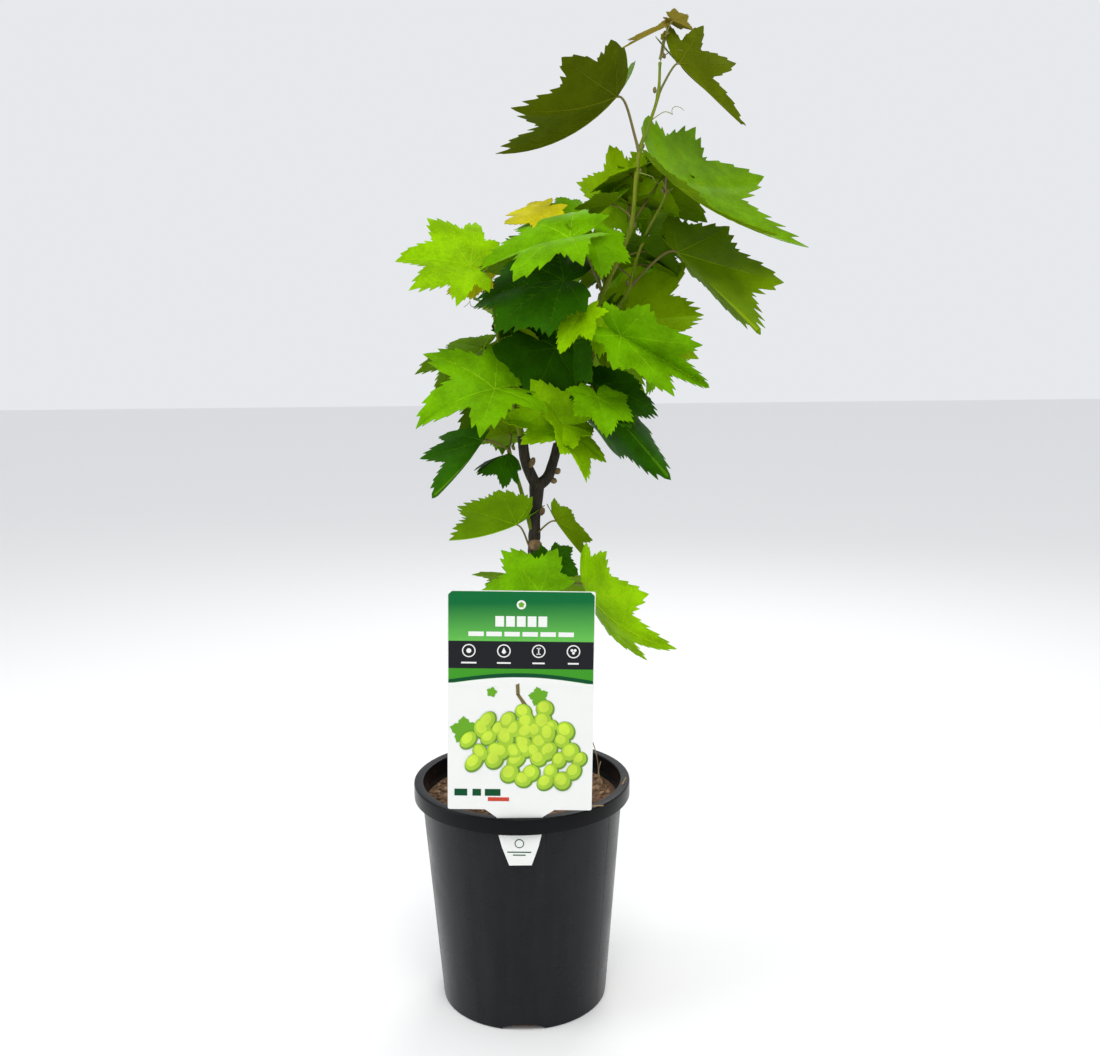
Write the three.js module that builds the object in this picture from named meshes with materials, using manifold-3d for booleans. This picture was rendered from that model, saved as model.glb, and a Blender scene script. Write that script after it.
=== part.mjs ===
// A young grapevine in a round nursery pot, with the grower's picture tag locked in the pot's rim.
// Millimetres, +Z up, origin at the centre of the pot's flat underside. -Y is the side with the tag.
import * as THREE from "three";
import { mergeVertices } from "three/addons/utils/BufferGeometryUtils.js";
import Module from "manifold-3d";

// Driving dimensions of the pot
const POT_HEIGHT = 174;
const RIM_RADIUS = 82.5;
const BASE_RADIUS = 63.5;
const WALL_TOP_RADIUS = 77.5;
const WALL = 2;
const FLOOR = 2;
const LIP_DEPTH = 12;
const LIP_WALL = 1.5;
const POT_SEGMENTS = 40;
const DRAIN_NOTCHES = 4;
const NOTCH_WIDTH = 34;
const NOTCH_HEIGHT = 4.5;

// Potting mix
const SOIL_EDGE = 158;
const SOIL_CROWN = 161.5;
const SOIL_SEGMENTS = 32;

// Tag: a plate above the rim, a neck through the slot in the lip and a tail below it
const TAG_WIDTH = 101.5;
const TAG_HEIGHT = 158;
const TAG_THICKNESS = 1;
const TAG_FRONT_Y = -78.8;
const TAG_LEAN_DEG = 1.3;
const TAG_FOOT_Z = 180;
const TAG_SHOULDER = 49;
const TAG_NECK = 33;
const TAG_TAIL_TOP = 31;
const TAG_TAIL_END = 16;
const TAG_TAIL_Z = 138;
const SLOT_LENGTH = 35;
const SLOT_WIDTH = 1.8;

// Wood and leaves
const GAP = 0.3;
const LIMB_SIDES = 6;
const LIMB_STEP = 15;
const STALK_RADIUS = 1.8;
const STALK_SIDES = 4;
const PAD_THICKNESS = 3;
const PAD_CLEARANCE = 0.8;
const LONG_BLADE = 82;
const FACET_TOLERANCE = 0.65;
const CROSSING_LEAST = 1e-3;

const FINISHES = {
  pot: { color: 0x26272b, roughness: 0.45, metalness: 0 },
  soil: { color: 0x4a3222, roughness: 0.95, metalness: 0 },
  tag: { color: 0xf4f6f2, roughness: 0.35, metalness: 0 },
  bark: { color: 0x33271b, roughness: 0.85, metalness: 0 },
  cane: { color: 0x67701f, roughness: 0.6, metalness: 0 },
  leaf: { color: 0x5c9a12, roughness: 0.55, metalness: 0 },
  olive: { color: 0x6d8414, roughness: 0.6, metalness: 0 },
  shade: { color: 0x24500a, roughness: 0.6, metalness: 0 },
  young: { color: 0xb7a32a, roughness: 0.6, metalness: 0 },
};

const wasm = await Module();
wasm.setup();

const part = new THREE.Group();
const radians = THREE.MathUtils.degToRad;

// ---------------------------------------------------------------- solids

function solidFromIndexed(positions, index) {
  const made = new wasm.Mesh({
    numProp: 3,
    vertProperties: new Float32Array(positions),
    triVerts: new Uint32Array(index),
  });
  return new wasm.Manifold(made);
}

// A closed geometry whose corners at one place are merged.
function solidFrom(geometry) {
  const bare = geometry.index ? geometry.toNonIndexed() : geometry;
  bare.deleteAttribute("normal");
  bare.deleteAttribute("uv");
  const merged = mergeVertices(bare, 1e-3);
  const index = [];
  for (let i = 0; i < merged.index.count; i += 3) {
    const [a, b, c] = merged.index.array.slice(i, i + 3);
    if (a !== b && b !== c && c !== a) index.push(a, b, c);
  }
  return solidFromIndexed(merged.attributes.position.array, index);
}

function geometryFrom(solid) {
  const mesh = solid.getMesh();
  const geometry = new THREE.BufferGeometry();
  geometry.setAttribute("position", new THREE.BufferAttribute(mesh.vertProperties, 3));
  geometry.setIndex(new THREE.BufferAttribute(mesh.triVerts, 1));
  const faceted = geometry.toNonIndexed();
  faceted.computeVertexNormals();
  return faceted;
}

function largestPiece(solid) {
  const pieces = solid.decompose();
  pieces.sort((a, b) => b.volume() - a.volume());
  return pieces[0];
}

function addNode(name, solid, finish) {
  const material = new THREE.MeshStandardMaterial({ ...FINISHES[finish], flatShading: true });
  const mesh = new THREE.Mesh(geometryFrom(solid), material);
  mesh.name = name;
  part.add(mesh);
}

// ---------------------------------------------------------------- pot, mix and tag

const wallRadius = (z) => THREE.MathUtils.lerp(BASE_RADIUS, WALL_TOP_RADIUS, z / POT_HEIGHT);

function latheSolid(profile, segments) {
  const points = profile.map(([radius, z]) => new THREE.Vector2(radius, z));
  const geometry = new THREE.LatheGeometry(points, segments);
  geometry.rotateX(Math.PI / 2);
  return solidFrom(geometry);
}

function drainNotch(turn) {
  const half = NOTCH_WIDTH / 2;
  const arch = new THREE.Shape();
  arch.moveTo(-half, -1);
  arch.lineTo(half, -1);
  arch.lineTo(half, 0);
  arch.quadraticCurveTo(half * 0.8, NOTCH_HEIGHT, 0, NOTCH_HEIGHT);
  arch.quadraticCurveTo(-half * 0.8, NOTCH_HEIGHT, -half, 0);
  const geometry = new THREE.ExtrudeGeometry(arch, { depth: 16, bevelEnabled: false, curveSegments: 5 });
  geometry.rotateX(Math.PI / 2);
  geometry.translate(0, -(BASE_RADIUS - 8), 0);
  geometry.rotateZ(turn);
  return solidFrom(geometry);
}

function potSolid() {
  const lipInside = RIM_RADIUS - LIP_WALL;
  const lipUnderside = POT_HEIGHT - LIP_WALL;
  const profile = [
    [0, 0],
    [BASE_RADIUS - 1.5, 0],
    [wallRadius(1.5), 1.5],
    [wallRadius(lipUnderside), lipUnderside],
    [lipInside, lipUnderside],
    [lipInside, POT_HEIGHT - LIP_DEPTH],
    [RIM_RADIUS, POT_HEIGHT - LIP_DEPTH],
    [RIM_RADIUS, POT_HEIGHT - 1.2],
    [RIM_RADIUS - 1.2, POT_HEIGHT],
    [wallRadius(POT_HEIGHT) - WALL + 0.8, POT_HEIGHT],
    [wallRadius(POT_HEIGHT) - WALL, POT_HEIGHT - 0.8],
    [wallRadius(FLOOR) - WALL, FLOOR],
    [0, FLOOR],
  ];
  let pot = latheSolid(profile, POT_SEGMENTS);
  for (let i = 0; i < DRAIN_NOTCHES; i += 1) {
    pot = pot.subtract(drainNotch((i * 2 * Math.PI) / DRAIN_NOTCHES));
  }
  const slot = new THREE.BoxGeometry(SLOT_LENGTH, SLOT_WIDTH, LIP_DEPTH);
  slot.translate(0, TAG_FRONT_Y + TAG_THICKNESS / 2, POT_HEIGHT);
  return pot.subtract(solidFrom(slot));
}

function soilSolid() {
  const inner = (z) => wallRadius(z) - WALL - GAP;
  const profile = [
    [0, FLOOR + GAP],
    [inner(FLOOR + GAP), FLOOR + GAP],
    [inner(SOIL_EDGE), SOIL_EDGE],
    [56, SOIL_EDGE + 1.5],
    [30, SOIL_CROWN - 0.8],
    [0, SOIL_CROWN],
  ];
  return latheSolid(profile, SOIL_SEGMENTS);
}

// The tag's outline is drawn with its lean, round the middle of its foot.
function tagSolid() {
  const lean = radians(TAG_LEAN_DEG);
  const tilted = (x, up) => [
    x * Math.cos(lean) + up * Math.sin(lean),
    TAG_FOOT_Z + up * Math.cos(lean) - x * Math.sin(lean),
  ];
  const half = TAG_WIDTH / 2;
  const neckZ = POT_HEIGHT + 0.5;
  const outline = [
    [-TAG_TAIL_END / 2, TAG_TAIL_Z],
    [TAG_TAIL_END / 2, TAG_TAIL_Z],
    [TAG_TAIL_TOP * 0.42, TAG_TAIL_Z + 14],
    [TAG_TAIL_TOP / 2, POT_HEIGHT - LIP_DEPTH],
    [TAG_NECK / 2, neckZ],
    tilted(TAG_SHOULDER / 2, 0),
    tilted(half, 0),
    tilted(half, TAG_HEIGHT),
    tilted(-half, TAG_HEIGHT),
    tilted(-half, 0),
    tilted(-TAG_SHOULDER / 2, 0),
    [-TAG_NECK / 2, neckZ],
    [-TAG_TAIL_TOP / 2, POT_HEIGHT - LIP_DEPTH],
    [-TAG_TAIL_TOP * 0.42, TAG_TAIL_Z + 14],
  ];
  const shape = new THREE.Shape(outline.map(([x, z]) => new THREE.Vector2(x, z)));
  const geometry = new THREE.ExtrudeGeometry(shape, { depth: TAG_THICKNESS, bevelEnabled: false });
  geometry.rotateX(Math.PI / 2);
  geometry.translate(0, TAG_FRONT_Y + TAG_THICKNESS, 0);
  return solidFrom(geometry);
}

// ---------------------------------------------------------------- limbs

// A tapering limb along a smooth curve: radii are given at the curve's points.
function limbSolid(limb, extra = 0) {
  const sides = limb.sides ?? LIMB_SIDES;
  const points = limb.points.map((p) => new THREE.Vector3(...p));
  const curve = new THREE.CatmullRomCurve3(points, false, "centripetal");
  const rings = limb.rings ?? Math.max(2, Math.round(curve.getLength() / LIMB_STEP));
  const frames = curve.computeFrenetFrames(rings, false);
  const positions = [];
  const index = [];
  for (let i = 0; i <= rings; i += 1) {
    const centre = curve.getPointAt(i / rings);
    const place = curve.getUtoTmapping(i / rings) * (limb.radii.length - 1);
    const low = Math.min(Math.floor(place), limb.radii.length - 2);
    const radius = THREE.MathUtils.lerp(limb.radii[low], limb.radii[low + 1], place - low) + extra;
    for (let side = 0; side < sides; side += 1) {
      const angle = (side * 2 * Math.PI) / sides;
      const corner = centre.clone();
      corner.addScaledVector(frames.normals[i], radius * Math.cos(angle));
      corner.addScaledVector(frames.binormals[i], radius * Math.sin(angle));
      if (limb.flatFoot && i === 0) corner.z = centre.z;
      positions.push(...corner.toArray());
    }
  }
  for (let i = 0; i < rings; i += 1) {
    for (let side = 0; side < sides; side += 1) {
      const a = i * sides + side;
      const b = i * sides + ((side + 1) % sides);
      index.push(a, b, b + sides, a, b + sides, a + sides);
    }
  }
  const last = rings * sides;
  for (let side = 1; side < sides - 1; side += 1) {
    index.push(0, side + 1, side);
    index.push(last, last + side, last + side + 1);
  }
  return solidFromIndexed(positions, index);
}

const LIMBS = [
  {
    name: "trunk",
    finish: "bark",
    flatFoot: true,
    points: [[4, 8, SOIL_CROWN + GAP], [4.5, 8, 172], [7, 7, 240], [10.5, 5.5, 335], [12.5, 3, 375], [14.3, 0, 402]],
    radii: [8.5, 5.8, 4.8, 4.2, 4.1, 5.5],
  },
  {
    name: "left_spur",
    finish: "bark",
    points: [[14, -0.5, 401], [6.4, -2, 417], [4, -3, 437]],
    radii: [4.3, 3.8, 3.4],
  },
  {
    name: "right_arm",
    finish: "bark",
    points: [[14.3, 0, 401], [21.7, 1, 405], [25.5, 2, 414], [30, 4, 430]],
    radii: [4.3, 4, 3.7, 3.2],
  },
  {
    name: "main_cane_lower",
    finish: "cane",
    points: [
      [30, 4, 429], [34.6, 5, 444], [40.6, 6, 460], [47.3, 6, 475], [55.4, 6, 494], [57.7, 5, 515], [62, 2, 537],
    ],
    radii: [3.1, 2.8, 2.5, 2.3, 2.1, 2, 1.9],
  },
  {
    name: "main_cane_upper",
    finish: "cane",
    points: [
      [62, 2, 537], [73.4, 0, 561], [83, -2, 583], [87, 0, 618], [90, 2, 639], [97, 4, 657], [102.7, 6, 675],
      [104, 6, 697],
    ],
    radii: [1.9, 1.8, 1.7, 1.6, 1.5, 1.4, 1.3, 1.2],
  },
  {
    name: "right_cane",
    finish: "cane",
    points: [
      [58, 6, 508], [67, 12, 515], [73, 14, 525], [82.6, 10, 541], [87.5, 8, 561], [97, 4, 585], [103, 0, 596],
      [110, -4, 611],
    ],
    radii: [1.7, 1.6, 1.5, 1.5, 1.4, 1.3, 1.3, 1.2],
  },
  {
    name: "left_cane",
    finish: "cane",
    points: [[4, -3, 437], [-2, 1, 458], [-7, 5, 479], [-12, 6, 503], [-15.5, 2, 525], [-19, -4, 537], [-27, -12, 551]],
    radii: [2.6, 2.2, 1.9, 1.7, 1.5, 1.4, 1.2],
  },
  {
    name: "low_shoot",
    finish: "cane",
    points: [[9.5, 2, 368], [7.3, 0, 376], [2.5, -6, 397], [-3.5, -12, 419], [-5.5, -14, 427]],
    radii: [1.8, 1.7, 1.6, 1.5, 1.4],
  },
];

// ---------------------------------------------------------------- leaves

// Half of a vine leaf's outline about the top of its stalk: degrees from the midrib, share of the length.
const HALF_OUTLINE = [
  { angle: 0, radius: 1 },
  { angle: 28, radius: 0.69, sinus: 1 },
  { angle: 48, radius: 0.88 },
  { angle: 78, radius: 0.6, sinus: 1 },
  { angle: 100, radius: 0.7 },
  { angle: 125, radius: 0.46, sinus: 1 },
  { angle: 148, radius: 0.5 },
  { angle: 180, radius: 0.07 },
];
const LAST_SPREAD_ANGLE = 148;
const SPREAD_MOST = 1.02;
const FOLD_MOST = 50;
const SLOPE_MOST = 75;
const FOLD_LIFT_MOST = 2;

function fullOutline(form) {
  const [, cut, spread] = form;
  const half = HALF_OUTLINE.map(({ angle, radius, sinus = 0 }) => ({
    turn: radians(angle <= LAST_SPREAD_ANGLE ? angle * Math.min(spread, SPREAD_MOST) : angle),
    reach: radius * (1 - cut * sinus),
    side: angle === 0 || angle === 180 ? 0 : 1,
  }));
  const right = half.slice(1, -1).map((point) => ({ ...point, side: -1 }));
  return [...half, ...right.reverse()];
}

// The blade's own axes: m runs along the midrib, s to its left, n out of its upper face.
function leafAxes(leaf) {
  const [heading, pitch, roll] = leaf.aim.map(radians);
  const m = new THREE.Vector3(
    Math.cos(pitch) * Math.cos(heading),
    Math.cos(pitch) * Math.sin(heading),
    Math.sin(pitch),
  );
  const level = new THREE.Vector3(-Math.sin(heading), Math.cos(heading), 0);
  const up = m.clone().cross(level);
  const s = level.clone().multiplyScalar(Math.cos(roll)).addScaledVector(up, Math.sin(roll));
  const n = up.multiplyScalar(Math.cos(roll)).addScaledVector(level, -Math.sin(roll));
  return { m, s, n };
}

// A point of the folded, drooping blade: u and across are shares of its length along and out from the midrib,
// side is 1 on the left half, -1 on the right one and 0 on the midrib, and lift is the height off mid-thickness.
function bladePoint(leaf, axes, u, across, side, lift) {
  const fold = radians(THREE.MathUtils.clamp(leaf.bend[0], -FOLD_MOST, FOLD_MOST));
  const droop = radians(leaf.bend[1]) || 1e-4;
  const room = radians(SLOPE_MOST);
  const curl = THREE.MathUtils.clamp(radians(leaf.bend[2]), fold - room, fold + room) || 1e-4;
  const slope = fold - curl * across;
  const off = side === 0 ? lift * Math.min(1 / Math.cos(fold), FOLD_LIFT_MOST) : lift;
  const lean = side === 0 ? 0 : slope;
  const away = (Math.sin(fold) - Math.sin(slope)) / curl - Math.sin(lean) * off;
  const rise = (Math.cos(slope) - Math.cos(fold)) / curl + Math.cos(lean) * off;
  const along = Math.sin(droop * u) / droop + rise * Math.sin(droop * u);
  const out = (Math.cos(droop * u) - 1) / droop + rise * Math.cos(droop * u);
  const point = new THREE.Vector3(...leaf.at);
  point.addScaledVector(axes.m, along * leaf.length);
  point.addScaledVector(axes.n, out * leaf.length);
  point.addScaledVector(axes.s, side * away * leaf.length);
  return point;
}

// A leaf as a closed pad: a fan round the stalk out to the margin, with a ring halfway on long blades, on two faces.
function padSolid(leaf, extra) {
  const axes = leafAxes(leaf);
  const outline = fullOutline(leaf.form);
  const wide = leaf.form[0];
  const half = (PAD_THICKNESS / 2 + extra) / leaf.length;
  const grown = 1 + (2 * extra) / leaf.length;
  const count = outline.length;
  const rings = leaf.length > LONG_BLADE ? [0.5, 1] : [1];
  const positions = [];
  for (const lift of [half, -half]) {
    positions.push(...bladePoint(leaf, axes, 0, 0, 0, lift).toArray());
    for (const share of rings) {
      for (const { turn, reach, side } of outline) {
        const u = Math.cos(turn) * reach * share * grown;
        const across = side === 0 ? 0 : Math.sin(turn) * reach * share * grown * wide;
        positions.push(...bladePoint(leaf, axes, u, across, side, lift).toArray());
      }
    }
  }
  const face = 1 + rings.length * count;
  const margin = face - count;
  const index = [];
  for (let i = 0; i < count; i += 1) {
    const next = (i + 1) % count;
    const [a, b] = [1 + i, 1 + next];
    index.push(0, a, b, face, face + b, face + a);
    if (rings.length > 1) {
      const [c, d] = [a + count, b + count];
      index.push(a, c, d, a, d, b, face + a, face + d, face + c, face + a, face + b, face + d);
    }
    const [e, f] = [margin + i, margin + next];
    index.push(e, face + e, face + f, e, face + f, f);
  }
  return solidFromIndexed(positions, index);
}

// A leaf's stalk, straight from its bud on the cane to the foot of the blade.
function stalkSolid(from, to, extra) {
  return limbSolid({ points: [from, to], radii: [STALK_RADIUS, STALK_RADIUS], sides: STALK_SIDES, rings: 1 }, extra);
}

function massSolid(mass, extra = 0) {
  const pieces = mass.leaves.flatMap((leaf) => [padSolid(leaf, extra), stalkSolid(mass.bud, leaf.at, extra)]);
  return pieces.reduce((whole, piece) => whole.add(piece));
}

// at: the foot of the blade. aim: the midrib's heading (0 is +X, 90 is +Y), its pitch and the blade's roll,
// in degrees. bend: fold of the halves, droop along the length and curl across it, in degrees.
// form: width, depth of the sinuses and spread of the lobes.
function leaf(at, aim, length, bend, form = [1, 0, 1]) {
  return { at, aim, length, bend, form };
}

const MASSES = [
  {
    name: "leaves_top_left",
    finish: "olive",
    bud: [88, 1, 637],
    leaves: [leaf([73, -4, 675], [167, -47, 0], 98, [16, -50, -6], [1.15, 0.05, 0.84])],
  },
  {
    name: "leaves_shoot_tip",
    finish: "young",
    bud: [104, 6, 699],
    leaves: [
      leaf([107, 3, 720], [185, -25, 60], 44, [50, 8, 0], [0.4, 0.1, 1]),
      leaf([114, 2, 724], [20, -20, -50], 18, [40, 0, 0], [0.8, 0, 1]),
    ],
  },
  {
    name: "leaves_top_right",
    finish: "olive",
    bud: [102, 6, 674],
    leaves: [leaf([117, 0, 698], [5, -45, -55], 66, [60, -20, -25], [1.1, 0.3, 1])],
  },
  {
    name: "leaves_high_right",
    finish: "leaf",
    bud: [108, -2, 607],
    leaves: [leaf([110, -6, 620], [12, -38, 27], 114, [8, -30, -20], [1.12, 0.08, 0.85])],
  },
  {
    name: "leaves_middle_right",
    finish: "olive",
    bud: [84, 10, 541],
    leaves: [leaf([115, -14, 568], [-35, -40, -92], 89, [65, 5, 10], [1.05, -0.02, 0.95])],
  },
  {
    name: "leaves_behind_top",
    finish: "olive",
    bud: [83, 2, 583],
    leaves: [
      leaf([81, 25, 608], [150, 15, 80], 56, [20, -30, -10], [1, 0.1, 0.95]),
      leaf([107, 28, 622], [160, -60, 55], 42, [15, 30, 5], [1.05, 0, 1]),
    ],
  },
  {
    name: "leaves_centre_right",
    finish: "olive",
    bud: [74, 16, 526],
    leaves: [leaf([80, 32, 518], [-25, 5, -80], 67, [40, 15, 20], [1.15, 0.1, 0.85])],
  },
  {
    name: "leaves_front_right",
    finish: "leaf",
    bud: [58, 3, 514],
    leaves: [
      leaf([74, -38, 510], [5, -30, 86], 74, [48, 5, 40], [0.66, 0.08, 0.86]),
      leaf([90, -16, 500], [-50, -70, -25], 36, [10, 25, 5], [1, -0.15, 1]),
    ],
  },
  {
    name: "leaves_crown_front",
    finish: "leaf",
    bud: [62, 0, 541],
    leaves: [
      leaf([39, -40, 577], [175, -10, -25], 68, [30, 20, 85], [1.1, 0.15, 1]),
      leaf([56, -24, 578], [-75, -50, -15], 38, [15, 10, 10]),
    ],
  },
  {
    name: "leaves_yellow_top",
    finish: "young",
    bud: [70, 3, 556],
    leaves: [
      leaf([24, 0, 600], [205, -25, -20], 35, [-5, -10, 5], [1, 0.05, 0.95]),
      leaf([44, 8, 599], [180, 10, -40], 28, [0, 15, 10]),
    ],
  },
  {
    name: "leaves_far_left",
    finish: "leaf",
    bud: [-22, -7, 543],
    leaves: [
      leaf([-31, -27, 560], [185, 15, -45], 55, [25, 30, 55], [1.2, 0.12, 0.85]),
      leaf([-26, -22, 551], [195, -30, -30], 27, [-5, 10, 15]),
    ],
  },
  {
    name: "leaves_left_shade",
    finish: "shade",
    bud: [56, 2, 506],
    leaves: [leaf([35, -26, 549], [175, 0, -35], 72, [10, 35, 55], [1.1, -0.1, 0.8])],
  },
  {
    name: "leaves_heart",
    finish: "shade",
    bud: [50, 3, 484],
    leaves: [
      leaf([29, -8, 502], [190, -5, -50], 50, [-15, 0, 15], [1.15, 0, 1.15]),
      leaf([42, -6, 504], [230, -70, 0], 45, [15, 25, 0], [1.05, -0.05, 0.95]),
    ],
  },
  {
    name: "leaves_heart_front",
    finish: "leaf",
    bud: [56, 2, 498],
    leaves: [leaf([46, -42, 526], [-140, -48, -20], 32, [10, 20, 5], [1, 0.15, 1.05])],
  },
  {
    name: "leaves_left",
    finish: "leaf",
    bud: [-3, 1, 461],
    leaves: [leaf([-14, -36, 475], [210, -5, -35], 65, [25, 50, 40], [1.05, 0.28, 1.15])],
  },
  {
    name: "leaves_low_left",
    finish: "shade",
    bud: [-6, -15, 429],
    leaves: [
      leaf([-23, -38, 438], [240, -35, -70], 58, [-60, 35, 25], [1.1, 0.15, 1.05]),
      leaf([-6, 8, 439], [165, -10, 40], 32, [15, 15, 10]),
    ],
  },
  {
    name: "leaves_fork_front",
    finish: "leaf",
    bud: [35, 2, 446],
    leaves: [
      leaf([34, -26, 449], [178, 8, -55], 46, [30, 15, 10], [0.95, 0.1, 1.05]),
      leaf([34, -22, 447], [-52, -50, -20], 47, [10, 10, 5], [1, 0.05, 0.9]),
    ],
  },
  {
    name: "leaves_right",
    finish: "shade",
    bud: [51, 4, 484],
    leaves: [
      leaf([61, -28, 466], [-25, -45, 65], 77, [-42, 30, 62], [1.05, 0, 1]),
      leaf([57, -36, 468], [-75, -40, -10], 36, [5, 15, 5]),
    ],
  },
  {
    name: "leaves_right_upper",
    finish: "shade",
    bud: [48, 4, 477],
    leaves: [leaf([60, -14, 476], [-5, -10, 30], 51, [-5, 40, 5], [1, -0.1, 0.95])],
  },
  {
    name: "leaves_small_left",
    finish: "shade",
    bud: [-4, -13, 421],
    leaves: [leaf([-8, -21, 427], [230, -10, -25], 31, [-40, 30, 10], [1.1, 0.05, 0.85])],
  },
  {
    name: "leaves_trunk_left",
    finish: "leaf",
    bud: [8, 4, 345],
    leaves: [leaf([-2, -9, 374], [170, -25, 25], 56, [35, -25, 30], [1.05, -0.1, 1])],
  },
  {
    name: "leaves_trunk_right",
    finish: "olive",
    bud: [13, 3, 358],
    leaves: [leaf([28, -7, 376], [-15, -55, -35], 43, [25, -10, 25], [0.8, 0.05, 0.9])],
  },
  {
    name: "leaves_foot_right",
    finish: "leaf",
    bud: [10, 4, 318],
    leaves: [leaf([49, -40, 331], [-65, -30, 105], 86, [-15, 50, 5], [0.75, 0.05, 0.8])],
  },
  {
    name: "leaves_foot_front",
    finish: "leaf",
    bud: [8, 3, 305],
    leaves: [leaf([16, -40, 331], [170, 5, -40], 54, [20, 40, 0], [0.95, 0.1, 1])],
  },
  {
    name: "leaves_back_crown",
    finish: "leaf",
    bud: [66, 6, 548],
    leaves: [
      leaf([30, 34, 566], [130, -20, 10], 72, [10, 30, 20]),
      leaf([62, 44, 572], [60, -30, 0], 62, [10, 30, 20]),
    ],
  },
  {
    name: "leaves_back_heart",
    finish: "shade",
    bud: [54, 9, 490],
    leaves: [
      leaf([28, 36, 508], [110, -40, 0], 74, [10, 30, 20]),
      leaf([64, 36, 500], [50, -35, 0], 66, [10, 25, 20]),
    ],
  },
  {
    name: "leaves_back_left",
    finish: "shade",
    bud: [-9, 7, 486],
    leaves: [
      leaf([-24, 18, 500], [140, -25, 0], 62, [10, 30, 20]),
      leaf([-6, 26, 462], [105, -45, 0], 54, [10, 30, 20]),
    ],
  },
  {
    name: "leaves_back_top",
    finish: "olive",
    bud: [87, 3, 620],
    leaves: [leaf([98, 40, 614], [60, -42, 0], 58, [10, 25, 20])],
  },
  {
    name: "leaves_back_foot",
    finish: "leaf",
    bud: [8, 10, 290],
    leaves: [leaf([12, 40, 318], [80, -25, 0], 72, [10, 30, 20])],
  },
];

// ---------------------------------------------------------------- assembly

addNode("pot", potSolid(), "pot");
addNode("potting_mix", soilSolid(), "soil");
addNode("picture_tag", tagSolid(), "tag");

// Each limb and mass is cut back from what stands before it, so that neighbours keep a small gap.
const standing = [];
const settledSolids = [];

function addCutBack(item, build, clearance) {
  const cut = standing.reduce((left, other) => left.subtract(other), build(item)).simplify(FACET_TOLERANCE);
  const settled = settledSolids.reduce(clearOf, largestPiece(cut));
  addNode(item.name, settled, item.finish);
  settledSolids.push(settled);
  standing.push(build(item, clearance));
}

// Where a tightly folded blade still crosses a neighbour, the crossing is cut away as one convex block.
function clearOf(solid, other) {
  const crossing = solid.intersect(other);
  if (crossing.volume() < CROSSING_LEAST) return solid;
  return largestPiece(solid.subtract(crossing.hull()));
}

LIMBS.forEach((limb) => addCutBack(limb, limbSolid, GAP));
MASSES.forEach((mass) => addCutBack(mass, massSolid, PAD_CLEARANCE));

export default part;
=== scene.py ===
"""A young grapevine in a round nursery pot, with the grower's picture tag locked in the pot's rim.

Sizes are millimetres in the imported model's frame and become metres when a mesh is made. The origin is
the centre of the pot's flat underside, +Z is up and -Y is the side with the tag.
"""
import logging
import math
import random
from dataclasses import dataclass, field
from enum import Enum, IntEnum
from typing import Callable, Iterable, Sequence

import bmesh
import bpy
from mathutils import Matrix, Vector, noise


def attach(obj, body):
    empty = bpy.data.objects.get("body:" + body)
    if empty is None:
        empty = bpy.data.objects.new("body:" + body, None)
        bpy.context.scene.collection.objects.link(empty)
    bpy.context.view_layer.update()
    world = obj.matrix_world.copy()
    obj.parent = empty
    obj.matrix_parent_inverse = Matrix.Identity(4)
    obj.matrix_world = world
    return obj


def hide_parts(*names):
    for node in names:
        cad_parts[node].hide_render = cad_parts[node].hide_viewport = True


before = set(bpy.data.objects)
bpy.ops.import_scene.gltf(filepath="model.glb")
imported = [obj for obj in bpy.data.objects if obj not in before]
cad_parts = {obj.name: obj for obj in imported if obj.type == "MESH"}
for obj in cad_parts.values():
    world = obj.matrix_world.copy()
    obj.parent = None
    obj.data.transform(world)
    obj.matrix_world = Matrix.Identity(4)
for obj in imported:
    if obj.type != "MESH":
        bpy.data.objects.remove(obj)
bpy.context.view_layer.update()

log = logging.getLogger("grapevine")

MM = 0.001
BODY = "root"
ARC_STEPS = 4
FIT_GAP = 0.3

Pair = tuple[float, float]
Triple = tuple[float, float, float]
Face = tuple[int, ...]


def mix(low: float, high: float, share: float) -> float:
    """Return the number that lies share of the way from low to high."""
    return low + (high - low) * share


def clamp(value: float, low: float = 0.0, high: float = 1.0) -> float:
    """Return value held between low and high."""
    return max(low, min(high, value))


def smooth_step(share: float) -> float:
    """Return a share eased at both ends."""
    t = clamp(share)
    return t * t * (3 - 2 * t)


def round_angles(count: int) -> list[float]:
    """Return count angles spaced evenly round a full turn, in radians."""
    return [2 * math.pi * i / count for i in range(count)]


def level_way(angle: float) -> Vector:
    """Return the level direction at an angle round +Z."""
    return Vector((math.cos(angle), math.sin(angle), 0))


# ---------------------------------------------------------------- shader maths


class Signal:
    """A shader socket on which sums can be written; each sum adds its Math node."""

    def __init__(self, graph: "Graph", socket: bpy.types.NodeSocket) -> None:
        """Wrap a socket of a graph."""
        self.graph = graph
        self.socket = socket

    def _maths(self, operation: str, other: object) -> "Signal":
        """Add a Math node on this signal and another signal or number.

        Args:
            operation: the node's operation.
            other: the second value.

        Returns:
            The node's result.
        """
        return self.graph.node("ShaderNodeMath", {"operation": operation}, {0: self, 1: other})

    def __add__(self, other: object) -> "Signal":
        """Return self + other."""
        return self._maths("ADD", other)

    def __mul__(self, other: object) -> "Signal":
        """Return self * other."""
        return self._maths("MULTIPLY", other)

    __radd__ = __add__
    __rmul__ = __mul__

    def height(self) -> "Signal":
        """Return the Z of a point."""
        return self.graph.node("ShaderNodeSeparateXYZ", {}, {0: self}, "Z")

    def between(self, low: float, high: float, start: float = 0.0, end: float = 1.0) -> "Signal":
        """Map the span low to high onto start to end, clamped."""
        inputs = {"From Min": low, "From Max": high, "To Min": start, "To Max": end, "Value": self}
        return self.graph.node("ShaderNodeMapRange", {"clamp": True}, inputs)


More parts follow.
